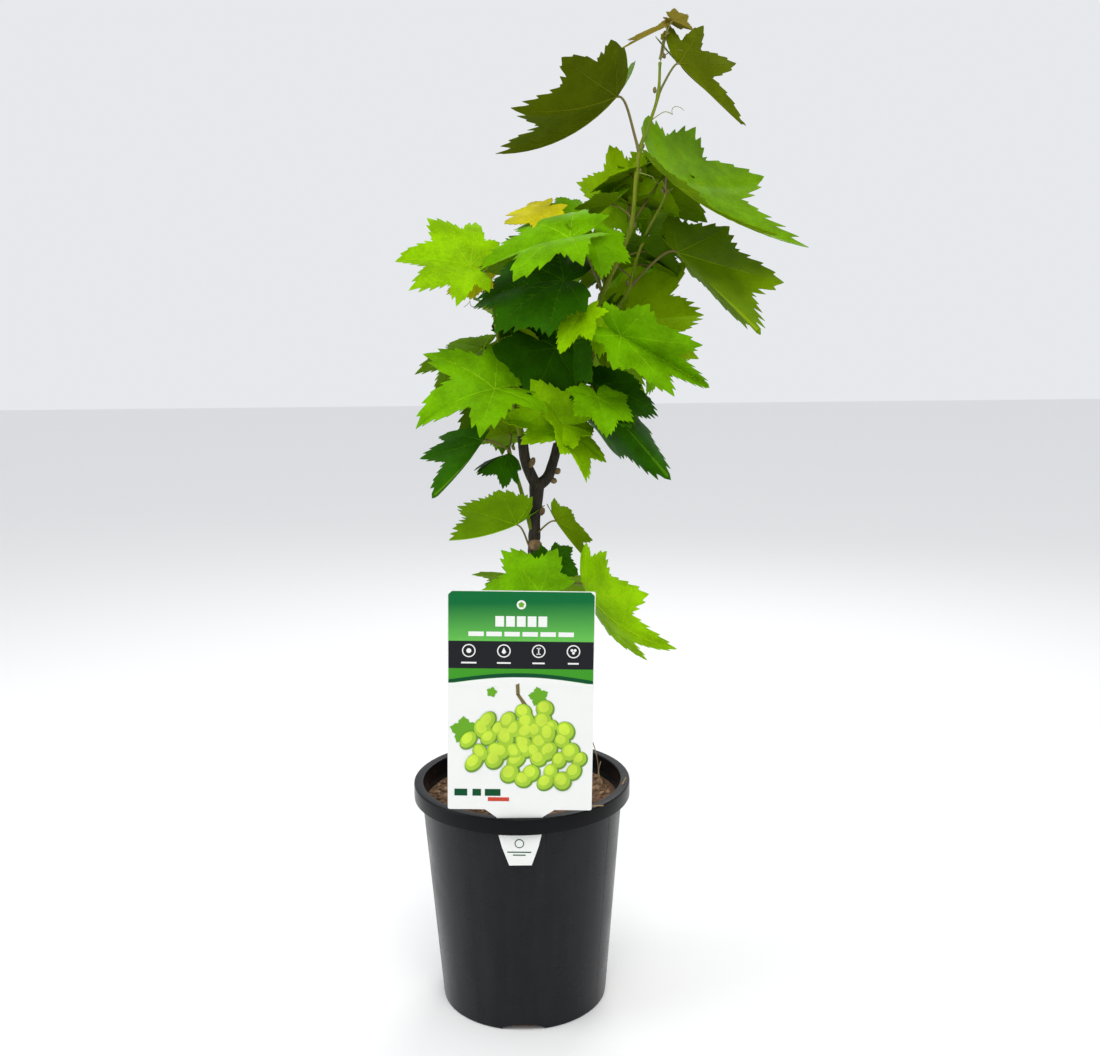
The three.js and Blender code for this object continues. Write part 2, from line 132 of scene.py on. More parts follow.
class Graph:
    """The node tree of one material, built around a Principled shader."""

    def __init__(self, name: str) -> None:
        """Make an empty material of that name with its shader and output."""
        self.material = bpy.data.materials.new(name)
        self.material.use_nodes = True
        self.tree = self.material.node_tree
        self.shader = self.tree.nodes["Principled BSDF"]

    def node(self, kind: str, settings: dict, inputs: dict, output: object = 0) -> Signal:
        """Add any node.

        Args:
            kind: the node's type.
            settings: the node's own properties, set first.
            inputs: a value or a signal for each socket, by name or number.
            output: the name or number of the output to return.

        Returns:
            The chosen output.
        """
        made = self.tree.nodes.new(kind)
        for key, value in settings.items():
            setattr(made, key, value)
        for key, value in inputs.items():
            self.link(made.inputs[key], value)
        return Signal(self, made.outputs[output])

    def link(self, socket: bpy.types.NodeSocket, value: object) -> None:
        """Feed a socket with a signal, or set its own value."""
        if isinstance(value, Signal):
            self.tree.links.new(value.socket, socket)
        else:
            socket.default_value = value

    def place(self) -> Signal:
        """Return the point in the object's own coordinates, in metres."""
        return self.node("ShaderNodeTexCoord", {}, {}, "Object")

    def stretched(self, scale: Triple) -> Signal:
        """Return the point with each axis scaled."""
        return self.node("ShaderNodeMapping", {}, {"Vector": self.place(), "Scale": scale})

    def noise(self, where: Signal, scale: float, detail: float = 3.0, roughness: float = 0.55) -> Signal:
        """Return fractal noise from 0 to 1 at a point."""
        inputs = {"Vector": where, "Scale": scale, "Detail": detail, "Roughness": roughness}
        return self.node("ShaderNodeTexNoise", {}, inputs)

    def blend(self, share: object, low: object, high: object) -> Signal:
        """Mix two colours by a share."""
        inputs = {"Factor": share, 6: self._rgba(low), 7: self._rgba(high)}
        return self.node("ShaderNodeMix", {"data_type": "RGBA"}, inputs, 2)

    @staticmethod
    def _rgba(colour: object) -> object:
        """Return a colour with its alpha, or the signal itself."""
        return colour if isinstance(colour, Signal) else (*colour, 1.0)

    def bump(self, height: Signal, depth: float) -> Signal:
        """Return a normal bumped by a height of so many metres."""
        return self.node("ShaderNodeBump", {}, {"Height": height, "Distance": depth}, "Normal")

    def dress(self, **sockets: object) -> bpy.types.Material:
        """Set the shader's sockets, whose names are given with underscores for spaces."""
        for name, value in sockets.items():
            self.link(self.shader.inputs[name.replace("_", " ")], value)
        return self.material


# ---------------------------------------------------------------- finishes


@dataclass(frozen=True)
class PotPlastic:
    """Black moulded plastic with faint draw marks down the wall; the lip is painted darker, which is painted
    shade.
    """

    colour: Triple = (0.0100, 0.0103, 0.0128)
    scuffed: Triple = (0.0160, 0.0163, 0.0190)
    # Painted shade: the lip is the same plastic, given a darker colour to stand in for the shade on its face.
    lip: Triple = (0.0018, 0.0019, 0.0028)
    lip_foot: float = 0.160
    lip_edge: float = 0.003

    def material(self) -> bpy.types.Material:
        """Return the finish as a material."""
        graph = Graph("pot_plastic")
        streaks = graph.noise(graph.stretched((1.0, 1.0, 0.05)), 130.0, 2.0)
        scuffs = graph.noise(graph.place(), 45.0, 5.0)
        grain = graph.noise(graph.place(), 1500.0, 2.0)
        share = (streaks * 0.6 + scuffs * 0.5).between(0.45, 0.85)
        wall = graph.blend(share, self.colour, self.scuffed)
        # Painted shade: the wall's colour turns into the darker lip colour from lip_foot up.
        lip_shade_share = graph.place().height().between(self.lip_foot, self.lip_foot + self.lip_edge)
        return graph.dress(
            Base_Color=graph.blend(lip_shade_share, wall, self.lip),
            Roughness=scuffs.between(0.3, 0.7, 0.24, 0.34),
            Specular_IOR_Level=0.13,
            Normal=graph.bump(grain * 0.5 + streaks * 0.5, 0.00006),
        )


@dataclass(frozen=True)
class MixSkin:
    """Damp potting mix."""

    dark: Triple = (0.060, 0.032, 0.018)
    light: Triple = (0.270, 0.145, 0.072)

    def material(self) -> bpy.types.Material:
        """Return the finish as a material."""
        graph = Graph("potting_mix_skin")
        clods = graph.noise(graph.place(), 190.0, 6.0, 0.7)
        fine = graph.noise(graph.place(), 900.0, 3.0)
        share = (clods * 0.7 + fine * 0.3).between(0.38, 0.68)
        return graph.dress(
            Base_Color=graph.blend(share, self.dark, self.light),
            Roughness=0.95,
            Normal=graph.bump(clods + fine * 0.4, 0.0012),
        )


@dataclass(frozen=True)
class Mottled:
    """A plain colour with a soft mottle, for crumbs, buds, straw and stalks."""

    name: str
    colour: Triple
    other: Triple
    roughness: float = 0.7
    grain: float = 260.0
    relief: float = 0.00012

    def material(self) -> bpy.types.Material:
        """Return the finish as a material."""
        graph = Graph(self.name)
        mottle = graph.noise(graph.place(), self.grain, 4.0)
        return graph.dress(
            Base_Color=graph.blend(mottle.between(0.35, 0.65), self.colour, self.other),
            Roughness=self.roughness,
            Normal=graph.bump(mottle, self.relief),
        )


@dataclass(frozen=True)
class Bark:
    """Dark fissured bark with paler flakes that run along the stem."""

    dark: Triple = (0.011, 0.0075, 0.0045)
    flake: Triple = (0.062, 0.043, 0.026)

    def material(self) -> bpy.types.Material:
        """Return the finish as a material."""
        graph = Graph("bark")
        strips = graph.noise(graph.stretched((1.0, 1.0, 0.12)), 620.0, 5.0, 0.65)
        blotches = graph.noise(graph.place(), 70.0, 3.0)
        share = (strips * 0.75 + blotches * 0.4).between(0.5, 0.78)
        return graph.dress(
            Base_Color=graph.blend(share, self.dark, self.flake),
            Roughness=0.85,
            Normal=graph.bump(strips, 0.0008),
        )


@dataclass(frozen=True)
class CaneSkin:
    """Smooth ribbed green skin of this season's cane."""

    green: Triple = (0.105, 0.180, 0.006)
    tan: Triple = (0.255, 0.275, 0.022)

    def material(self) -> bpy.types.Material:
        """Return the finish as a material."""
        graph = Graph("cane_skin")
        ribs = graph.noise(graph.stretched((1.0, 1.0, 0.04)), 900.0, 2.0)
        patches = graph.noise(graph.place(), 38.0, 3.0)
        return graph.dress(
            Base_Color=graph.blend((ribs * 0.5 + patches * 0.6).between(0.4, 0.75), self.green, self.tan),
            Roughness=0.5,
            Specular_IOR_Level=0.10,
            Normal=graph.bump(ribs, 0.0003),
        )


@dataclass(frozen=True)
class LeafSkin:
    """One face of a leaf: a plain colour with a soft mottle and a fine pucker."""

    name: str
    colour: Triple
    roughness: float = 0.48
    spread: float = 0.22

    def material(self) -> bpy.types.Material:
        """Return the finish as a material."""
        graph = Graph(self.name)
        patches = graph.noise(graph.place(), 55.0, 4.0)
        cells = graph.noise(graph.place(), 520.0, 2.0)
        low = tuple(channel * (1 - self.spread) for channel in self.colour)
        high = tuple(channel * (1 + self.spread) for channel in self.colour)
        return graph.dress(
            Base_Color=graph.blend((patches * 0.7 + cells * 0.3).between(0.38, 0.62), low, high),
            Roughness=self.roughness,
            Specular_IOR_Level=0.02,
            Normal=graph.bump(cells, 0.00016),
        )


@dataclass(frozen=True)
class PrintedCard:
    """A flat printed colour on the tag."""

    name: str
    colour: Triple
    roughness: float = 0.34

    def material(self) -> bpy.types.Material:
        """Return the finish as a material."""
        graph = Graph(self.name)
        smear = graph.noise(graph.place(), 60.0, 3.0)
        low = tuple(channel * 0.95 for channel in self.colour)
        return graph.dress(
            Base_Color=graph.blend(smear, low, self.colour),
            Roughness=smear.between(0.3, 0.7, self.roughness - 0.04, self.roughness + 0.05),
            Specular_IOR_Level=0.10,
        )


@dataclass(frozen=True)
class HeaderPrint:
    """The tag's header, dark green above and lighter green below."""

    foot: float
    head: float
    low: Triple = (0.120, 0.46, 0.075)
    high: Triple = (0.004, 0.135, 0.034)

    def material(self) -> bpy.types.Material:
        """Return the finish as a material; foot and head are the print's heights in metres."""
        graph = Graph("tag_header_print")
        share = graph.place().height().between(self.foot, self.head)
        return graph.dress(
            Base_Color=graph.blend(share, self.low, self.high),
            Roughness=0.34,
            Specular_IOR_Level=0.10,
        )


# ---------------------------------------------------------------- mesh drafting


class Draft:
    """Vertices in millimetres and faces with a material number, gathered for one piece."""

    def __init__(self) -> None:
        """Start empty."""
        self.points: list[Vector] = []
        self.faces: list[Face] = []
        self.skins: list[int] = []

    def add(self, points: Iterable[Vector], faces: Iterable[Face], skin: int = 0) -> None:
        """Add a shape.

        Args:
            points: its vertices.
            faces: its faces, numbered from its own first vertex.
            skin: the material number of those faces.
        """
        first = len(self.points)
        self.points.extend(points)
        for face in faces:
            self.faces.append(tuple(first + corner for corner in face))
            self.skins.append(int(skin))

    def piece(self, name: str, materials: Sequence[bpy.types.Material], crease: float) -> bpy.types.Object:
        """Make the gathered shapes one object.

        Args:
            name: the object's name.
            materials: its materials, in the order of the material numbers.
            crease: the angle in degrees past which an edge stays sharp.

        Returns:
            The new object.
        """
        mesh = bpy.data.meshes.new(name)
        mesh.from_pydata([point * MM for point in self.points], [], self.faces)
        mesh.polygons.foreach_set("material_index", self.skins)
        mesh.shade_smooth()
        mesh.set_sharp_from_angle(angle=math.radians(crease))
        for material in materials:
            mesh.materials.append(material)
        return shown(bpy.data.objects.new(name, mesh))


def shown(piece: bpy.types.Object) -> bpy.types.Object:
    """Put an object in the scene and return it."""
    bpy.context.scene.collection.objects.link(piece)
    return piece


def settle(piece: bpy.types.Object, slot: str, *nodes: str) -> None:
    """Let a finished piece ride on the plant and hide the solids it stands for."""
    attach(piece, BODY)
    if nodes:
        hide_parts(*nodes)
    log.info("%s: %d faces, stands for %s", piece.name, len(piece.data.polygons), nodes or "nothing")


def smooth_path(knots: Sequence[Triple], step: float) -> list[tuple[Vector, float]]:
    """Run a centripetal curve through knots.

    Args:
        knots: the points it passes through.
        step: the spacing of the samples.

    Returns:
        Samples along it, each with its place counted in knots.
    """
    points = [Vector(knot) for knot in knots]
    padded = [points[0] * 2 - points[1], *points, points[-1] * 2 - points[-2]]
    samples = []
    for i in range(len(points) - 1):
        a, b, c, d = padded[i:i + 4]
        t1 = (b - a).length ** 0.5
        t2 = t1 + (c - b).length ** 0.5
        t3 = t2 + (d - c).length ** 0.5
        count = max(1, round((c - b).length / step))
        for k in range(count + (i == len(points) - 2)):
            t = mix(t1, t2, k / count)
            ab = a.lerp(b, t / t1)
            bc = b.lerp(c, (t - t1) / (t2 - t1))
            cd = c.lerp(d, (t - t2) / (t3 - t2))
            abc = ab.lerp(bc, t / t2)
            bcd = bc.lerp(cd, (t - t1) / (t3 - t1))
            samples.append((abc.lerp(bcd, (t - t1) / (t2 - t1)), i + k / count))
    return samples


def at_place(values: Sequence[float], place: float) -> float:
    """Return a value between knots from one value for each knot."""
    low = min(int(place), len(values) - 2)
    return mix(values[low], values[low + 1], place - low)


def tube(
    draft: Draft,
    centres: Sequence[Vector],
    radius: Callable[[int, float], float],
    sides: int,
    cap_skin: int = 0,
) -> None:
    """Loft a closed tube along a path, with material 0 on its wall.

    Args:
        draft: where the tube goes.
        centres: the path.
        radius: the radius at a ring's number and an angle.
        sides: the number of sides.
        cap_skin: the material number of the far cap.
    """
    count = len(centres)
    ahead = [(centres[min(i + 1, count - 1)] - centres[max(i - 1, 0)]).normalized() for i in range(count)]
    normal = ahead[0].orthogonal().normalized()
    points = []
    for i, centre in enumerate(centres):
        normal = (normal - ahead[i] * normal.dot(ahead[i])).normalized()
        across = ahead[i].cross(normal)
        for angle in round_angles(sides):
            way = normal * math.cos(angle) + across * math.sin(angle)
            points.append(centre + way * radius(i, angle))
    faces = []
    for i in range(count - 1):
        for side in range(sides):
            a, b = i * sides + side, i * sides + (side + 1) % sides
            faces.append((a, b, b + sides, a + sides))
    near_cap = tuple(reversed(range(sides)))
    draft.add(points, [*faces, near_cap])
    draft.add(points[-sides:], [tuple(range(sides))], cap_skin)


def level_ring(reach: float, height: float, count: int) -> list[Vector]:
    """Return a level ring of points round +Z."""
    return [level_way(angle) * reach + Vector((0, 0, height)) for angle in round_angles(count)]


def lathe(draft: Draft, profile: Sequence[Pair], segments: int) -> None:
    """Turn a profile of radius and height, which starts and ends on the axis, round +Z."""
    points = []
    faces = []
    rows = []
    for reach, height in profile:
        if reach == 0:
            rows.append([len(points)] * segments)
            points.append(Vector((0, 0, height)))
            continue
        rows.append(list(range(len(points), len(points) + segments)))
        points += level_ring(reach, height, segments)
    for lower, upper in zip(rows, rows[1:]):
        for i in range(segments):
            j = (i + 1) % segments
            ring = (lower[i], lower[j], upper[j], upper[i])
            faces.append(tuple(dict.fromkeys(ring)))
    draft.add(points, faces)


def rounded(corner: Pair, before: Pair, after: Pair, radius: float) -> list[Pair]:
    """Round one corner of a profile.

    Args:
        corner: the corner.
        before: the profile's point before it.
        after: the profile's point after it.
        radius: how far from the corner the arc starts.

    Returns:
        The points of the arc.
    """
    here, back, on = Vector(corner), Vector(before), Vector(after)
    start = here + (back - here).normalized() * radius
    end = here + (on - here).normalized() * radius
    arc = []
    for k in range(ARC_STEPS + 1):
        t = k / ARC_STEPS
        point = start.lerp(here, t).lerp(here.lerp(end, t), t)
        arc.append((point.x, point.y))
    return arc


def slab(draft: Draft, front: Sequence[Vector], back: Sequence[Vector], skin: int = 0) -> None:
    """Add a closed slab between two outlines.

    Args:
        draft: where it goes.
        front: the near outline, anticlockwise as it is seen.
        back: the far outline, point for point.
        skin: its material number.
    """
    count = len(front)
    faces = [tuple(range(count)), tuple(reversed(range(count, 2 * count)))]
    faces += [(i, count + i, count + (i + 1) % count, (i + 1) % count) for i in range(count)]
    draft.add([*front, *back], faces, skin)


class PointForms:
    """Geometry Nodes that put a faceted ball or sliver on every vertex of a mesh and realize them."""

    def __init__(self, name: str) -> None:
        """Build the tree with its named inputs."""
        self.tree = bpy.data.node_groups.new(name, "GeometryNodeTree")
        face = self.tree.interface
        face.new_socket("Geometry", in_out="INPUT", socket_type="NodeSocketGeometry")
        kinds = {"Detail": "Int", "Roughen": "Float", "Seed": "Int", "Finish": "Material"}
        self.sockets = {}
        for key, kind in kinds.items():
            socket = face.new_socket(key, in_out="INPUT", socket_type=f"NodeSocket{kind}")
            self.sockets[key] = socket.identifier
        face.new_socket("Geometry", in_out="OUTPUT", socket_type="NodeSocketGeometry")
        start = self._node("NodeGroupInput")
        size = self._attribute("size")
        turn = self._attribute("turn")
        ball = self._node("GeometryNodeMeshIcoSphere")
        ball.inputs["Radius"].default_value = 1.0
        bodies = self._node("GeometryNodeInstanceOnPoints")
        real = self._node("GeometryNodeRealizeInstances")
        shift = self._node("FunctionNodeRandomValue", data_type="FLOAT_VECTOR")
        shift.inputs[0].default_value = (-1, -1, -1)
        shift.inputs[1].default_value = (1, 1, 1)
        scaled = self._node("ShaderNodeVectorMath", operation="SCALE")
        place = self._node("GeometryNodeSetPosition")
        smooth = self._node("GeometryNodeSetShadeSmooth")
        dress = self._node("GeometryNodeSetMaterial")
        end = self._node("NodeGroupOutput")
        wires = (
            (start, "Geometry", bodies, "Points"),
            (start, "Detail", ball, "Subdivisions"),
            (ball, "Mesh", bodies, "Instance"),
            (size, "Attribute", bodies, "Scale"),
            (turn, "Attribute", bodies, "Rotation"),
            (bodies, "Instances", real, "Geometry"),
            (start, "Seed", shift, "Seed"),
            (shift, 0, scaled, 0),
            (start, "Roughen", scaled, "Scale"),
            (real, "Geometry", place, "Geometry"),
            (scaled, "Vector", place, "Offset"),
            (place, "Geometry", smooth, "Geometry"),
            (smooth, "Geometry", dress, "Geometry"),
            (start, "Finish", dress, "Material"),
            (dress, "Geometry", end, "Geometry"),
        )
        for source, output, target, socket in wires:
            self.tree.links.new(source.outputs[output], target.inputs[socket])

    def _attribute(self, name: str) -> bpy.types.Node:
        """Add a node that reads one of the vertices' vector attributes."""
        made = self._node("GeometryNodeInputNamedAttribute", data_type="FLOAT_VECTOR")
        made.inputs["Name"].default_value = name
        return made

    def _node(self, kind: str, **settings: object) -> bpy.types.Node:
        """Add a node to the tree with its settings."""
        made = self.tree.nodes.new(kind)
        for key, value in settings.items():
            setattr(made, key, value)
        return made

    def grow(self, name: str, spots: Sequence["Spot"], finish: bpy.types.Material, detail: int = 1,
             roughen: float = 0.0, seed: int = 1) -> bpy.types.Object:
        """Make one piece of many small forms.

        Args:
            name: the piece's name.
            spots: where each form lies, with its half sizes and turn.
            finish: the material.
            detail: the ball's subdivisions.
            roughen: how far in millimetres its corners are shaken.
            seed: the seed of that shake.

        Returns:
            The realized piece.
        """
        mesh = bpy.data.meshes.new(name + "_spots")
        mesh.from_pydata([Vector(spot.at) * MM for spot in spots], [], [])
        sizes = mesh.attributes.new("size", "FLOAT_VECTOR", "POINT")
        turns = mesh.attributes.new("turn", "FLOAT_VECTOR", "POINT")
        for i, spot in enumerate(spots):
            sizes.data[i].vector = Vector(spot.half) * MM
            turns.data[i].vector = spot.turn
        base = shown(bpy.data.objects.new(name + "_spots", mesh))
        modifier = base.modifiers.new("forms", "NODES")
        modifier.node_group = self.tree
        values = {"Detail": detail, "Roughen": roughen * MM, "Seed": seed, "Finish": finish}
        for key, value in values.items():
            modifier[self.sockets[key]] = value
        bake_modifiers(base)
        made = base.data
        bpy.data.objects.remove(base)
        made.name = name
        return shown(bpy.data.objects.new(name, made))


@dataclass(frozen=True)
class Spot:
    """One small form: its place and half sizes in millimetres, and its turn in radians."""

    at: Triple
    half: Triple
    turn: Triple = (0.0, 0.0, 0.0)


# ---------------------------------------------------------------- pot, mix and tag


@dataclass
class NurseryPot:
    """The moulded pot: a tapering wall with a turned-out lip, a slot for the tag and drain notches."""

    height: float = 174.0
    rim_radius: float = 82.5
    base_radius: float = 63.5
    wall_top_radius: float = 77.5
    wall: float = 2.0
    floor: float = 2.0
    lip_depth: float = 12.0
    lip_wall: float = 1.5
    segments: int = 176
    notch_width: float = 34.0
    notch_height: float = 4.5
    notches: int = 4
    slot_length: float = 35.0
    slot_width: float = 1.8
    slot_y: float = -78.3
    flutes: int = 8
    flute_radius: float = 0.34
    flute_sink: float = 0.26
    crease_deg: float = 35.0

    def wall_radius(self, height: float) -> float:
        """Return the wall's outer radius at a height."""
        return mix(self.base_radius, self.wall_top_radius, height / self.height)

    def profile(self) -> list[Pair]:
        """Return the wall's closed section, outside going up and inside coming down."""
        lip_inside = self.rim_radius - self.lip_wall
        under_lip = self.height - self.lip_wall
        skirt = self.height - self.lip_depth
        inner_top = self.wall_radius(self.height) - self.wall
        foot = (self.base_radius, 0.0)
        corners = [
            (0.0, 0.0),
            foot,
            (self.wall_radius(under_lip), under_lip),
            (lip_inside, under_lip),
            (lip_inside, skirt),
            (self.rim_radius, skirt),
            (self.rim_radius, self.height),
            (inner_top, self.height),
            (self.wall_radius(self.floor) - self.wall, self.floor),
            (0.0, self.floor),
        ]
        rounding = [0, 1.5, 0.6, 0.5, 0.5, 0.5, 1.4, 0.9, 1.2, 0]
        outline = [corners[0]]
        for i in range(1, len(corners) - 1):
            outline += rounded(corners[i], corners[i - 1], corners[i + 1], rounding[i])
        return [*outline, corners[-1]]

    def notch_cutter(self, angle: float) -> Draft:
        """Return an arched block that cuts one drain notch through the foot's edge."""
        steps = 14
        below = -3.0
        along = level_way(angle)
        across = Vector((-along.y, along.x, 0))
        arch = [(-self.notch_width / 2, below)]
        for k in range(steps + 1):
            share = k / steps
            rise = self.notch_height * (1 - abs(2 * share - 1) ** 4)
            arch.append((self.notch_width * (share - 0.5), rise))
        arch.append((self.notch_width / 2, below))
        ends = []
        for reach in (self.base_radius - 7, self.base_radius + 6):
            ends.append([along * reach + across * x + Vector((0, 0, z)) for x, z in arch])
        cutter = Draft()
        slab(cutter, *ends)
        return cutter

    def slot_cutter(self) -> Draft:
        """Return the block that cuts the tag's slot through the lip's top."""
        cutter = Draft()
        add_box(cutter, (0, self.slot_y, self.height), (self.slot_length, self.slot_width, self.lip_depth))
        return cutter

    def build(self) -> None:
        """Build the pot and dress it."""
        draft = Draft()
        lathe(draft, self.profile(), self.segments)
        finish = PotPlastic().material()
        pot = draft.piece("nursery_pot", [finish], self.crease_deg)
        right_way_out(pot)
        cutters = [self.notch_cutter(angle) for angle in round_angles(self.notches)]
        for cutter_draft in [*cutters, self.slot_cutter()]:
            cutter = cutter_draft.piece("cutter", [finish], self.crease_deg)
            right_way_out(cutter)
            cut = pot.modifiers.new("cut", "BOOLEAN")
            cut.operation = "DIFFERENCE"
            cut.solver = "EXACT"
            cut.object = cutter
            bake_modifiers(pot)
            bpy.data.objects.remove(cutter)
        pot.data.shade_smooth()
        pot.data.set_sharp_from_angle(angle=math.radians(self.crease_deg))
        settle(pot, "pot", "pot")
        self.build_flutes(finish)

    def build_flutes(self, finish: bpy.types.Material) -> None:
        """Add the low moulded seams that run down the wall."""
        draft = Draft()
        top, foot = self.height - self.lip_depth - 1, 6.0
        for i in range(self.flutes):
            angle = 2 * math.pi * (i + 0.31) / self.flutes
            heights = (foot, (foot + top) / 2, top)
            sunk = [self.wall_radius(z) - self.flute_sink for z in heights]
            path = [level_way(angle) * reach + Vector((0, 0, z)) for reach, z in zip(sunk, heights)]
            tube(draft, path, lambda ring, turn: self.flute_radius, 8)
        flutes = draft.piece("pot_seams", [finish], 50)
        right_way_out(flutes)
        settle(flutes, "pot")


def add_box(draft: Draft, centre: Triple, size: Triple) -> None:
    """Add a plain block, given by its centre and size, to a draft."""
    points = []
    for x in (-0.5, 0.5):
        for y in (-0.5, 0.5):
            for z in (-0.5, 0.5):
                points.append(Vector(centre) + Vector((x * size[0], y * size[1], z * size[2])))
    faces = [(0, 1, 3, 2), (4, 6, 7, 5), (0, 4, 5, 1), (2, 3, 7, 6), (0, 2, 6, 4), (1, 5, 7, 3)]
    draft.add(points, faces)


def bake_modifiers(piece: bpy.types.Object) -> None:
    """Turn a piece's modifiers into its mesh."""
    depsgraph = bpy.context.evaluated_depsgraph_get()
    made = bpy.data.meshes.new_from_object(piece.evaluated_get(depsgraph))
    piece.modifiers.clear()
    piece.data = made


def right_way_out(piece: bpy.types.Object) -> None:
    """Merge a closed mesh's doubles and turn its faces outwards."""
    form = bmesh.new()
    form.from_mesh(piece.data)
    bmesh.ops.remove_doubles(form, verts=form.verts, dist=1e-7)
    bmesh.ops.recalc_face_normals(form, faces=form.faces)
    form.to_mesh(piece.data)
    form.free()


@dataclass
class PottingMix:
    """The mounded mix in the pot, with loose crumbs, bark and a few straws on it."""

    pot: NurseryPot
    edge: float = 158.0
    crown: float = 161.5
    rings: int = 44
    segments: int = 132
    mound_drop: float = 1.5
    clod_scale: float = 0.09
    clod_height: float = 1.3
    crumbs: int = 900
    chips: int = 160
    seed: int = 11

    def inner_radius(self, height: float) -> float:
        """Return the mix's radius where it meets the wall at a height."""
        return self.pot.wall_radius(height) - self.pot.wall - FIT_GAP

    def height_at(self, x: float, y: float) -> float:
        """Return the top's height at a point, a low mound with clods."""
        share = clamp(math.hypot(x, y) / self.inner_radius(self.edge))
        mound = mix(self.crown - self.mound_drop, self.edge, smooth_step(share))
        clods = noise.fractal(Vector((x, y, 3.0)) * self.clod_scale, 1.0, 2.0, 4) * self.clod_height
        return mound + clods * (1 - 0.5 * share)

    def build(self) -> None:
        """Build the mix and what lies on it."""
        draft = Draft()
        radius = self.inner_radius(self.edge)
        points = [Vector((0, 0, self.height_at(0, 0)))]
        faces = []
        for ring in range(1, self.rings + 1):
            for spot in level_ring(radius * ring / self.rings, 0, self.segments):
                points.append(Vector((spot.x, spot.y, self.height_at(spot.x, spot.y))))
        foot = self.inner_radius(self.pot.floor)
        points += level_ring(foot, self.pot.floor + FIT_GAP, self.segments)
        for i in range(self.segments):
            j = (i + 1) % self.segments
            faces.append((0, 1 + i, 1 + j))
            for ring in range(self.rings):
                a, b = 1 + ring * self.segments + i, 1 + ring * self.segments + j
                faces.append((a, a + self.segments, b + self.segments, b))
        base = range(1 + self.rings * self.segments, 1 + (self.rings + 1) * self.segments)
        draft.add(points, [*faces, tuple(reversed(base))])
        mound = draft.piece("potting_mix_mound", [MixSkin().material()], 60)
        right_way_out(mound)
        settle(mound, "soil", "potting_mix")
        self.scatter()

    def scatter(self) -> None:
        """Scatter crumbs, bark chips and straws over the mound."""
        rng = random.Random(self.seed)
        forms = PointForms("loose_bits")
        crumb = Mottled("crumb_skin", (0.090, 0.048, 0.026), (0.260, 0.140, 0.074), 0.95)
        chip = Mottled("chip_skin", (0.200, 0.110, 0.054), (0.340, 0.215, 0.120), 0.9)
        crumbs = [self.loose(rng, 0.7, 2.2, 0.8) for _ in range(self.crumbs)]
        chips = [self.loose(rng, 1.4, 4.2, 0.45) for _ in range(self.chips)]
        settle(forms.grow("mix_crumbs", crumbs, crumb.material(), 1, 0.35, 3), "soil")
        settle(forms.grow("mix_chips", chips, chip.material(), 2, 0.3, 5), "soil")

    def loose(self, rng: random.Random, small: float, large: float, flatness: float) -> Spot:
        """Return one loose bit.

        Args:
            rng: the seeded source of chance.
            small: the least half length.
            large: the most half length.
            flatness: its thickness as a share of its half length.

        Returns:
            The bit, lying on the mound.
        """
        wall_room = 3
        reach = (self.inner_radius(self.edge) - wall_room) * math.sqrt(rng.random())
        x, y, _ = level_way(rng.uniform(0, 2 * math.pi)) * reach
        half = rng.uniform(small, large)
        spin = (rng.uniform(-0.4, 0.4), rng.uniform(-0.4, 0.4), rng.uniform(0, math.pi))
        lift = half * flatness * 0.35
        return Spot((x, y, self.height_at(x, y) + lift), (half, half * 0.7, half * flatness), spin)


class Ink(IntEnum):
    """The printed colours of the tag, in the order of its sheet's materials."""

    HEADER = 0
    BLACK = 1
    BRIGHT = 2
    DARK = 3
    WHITE = 4
    RED = 5
    LEAF = 6
    STEM = 7


class Sign(Enum):
    """The four plain care signs, with each one's place across the band."""

    SUN = -36.0
    DROP = -11.8
    HEIGHT = 12.2
    BUNCH = 36.2


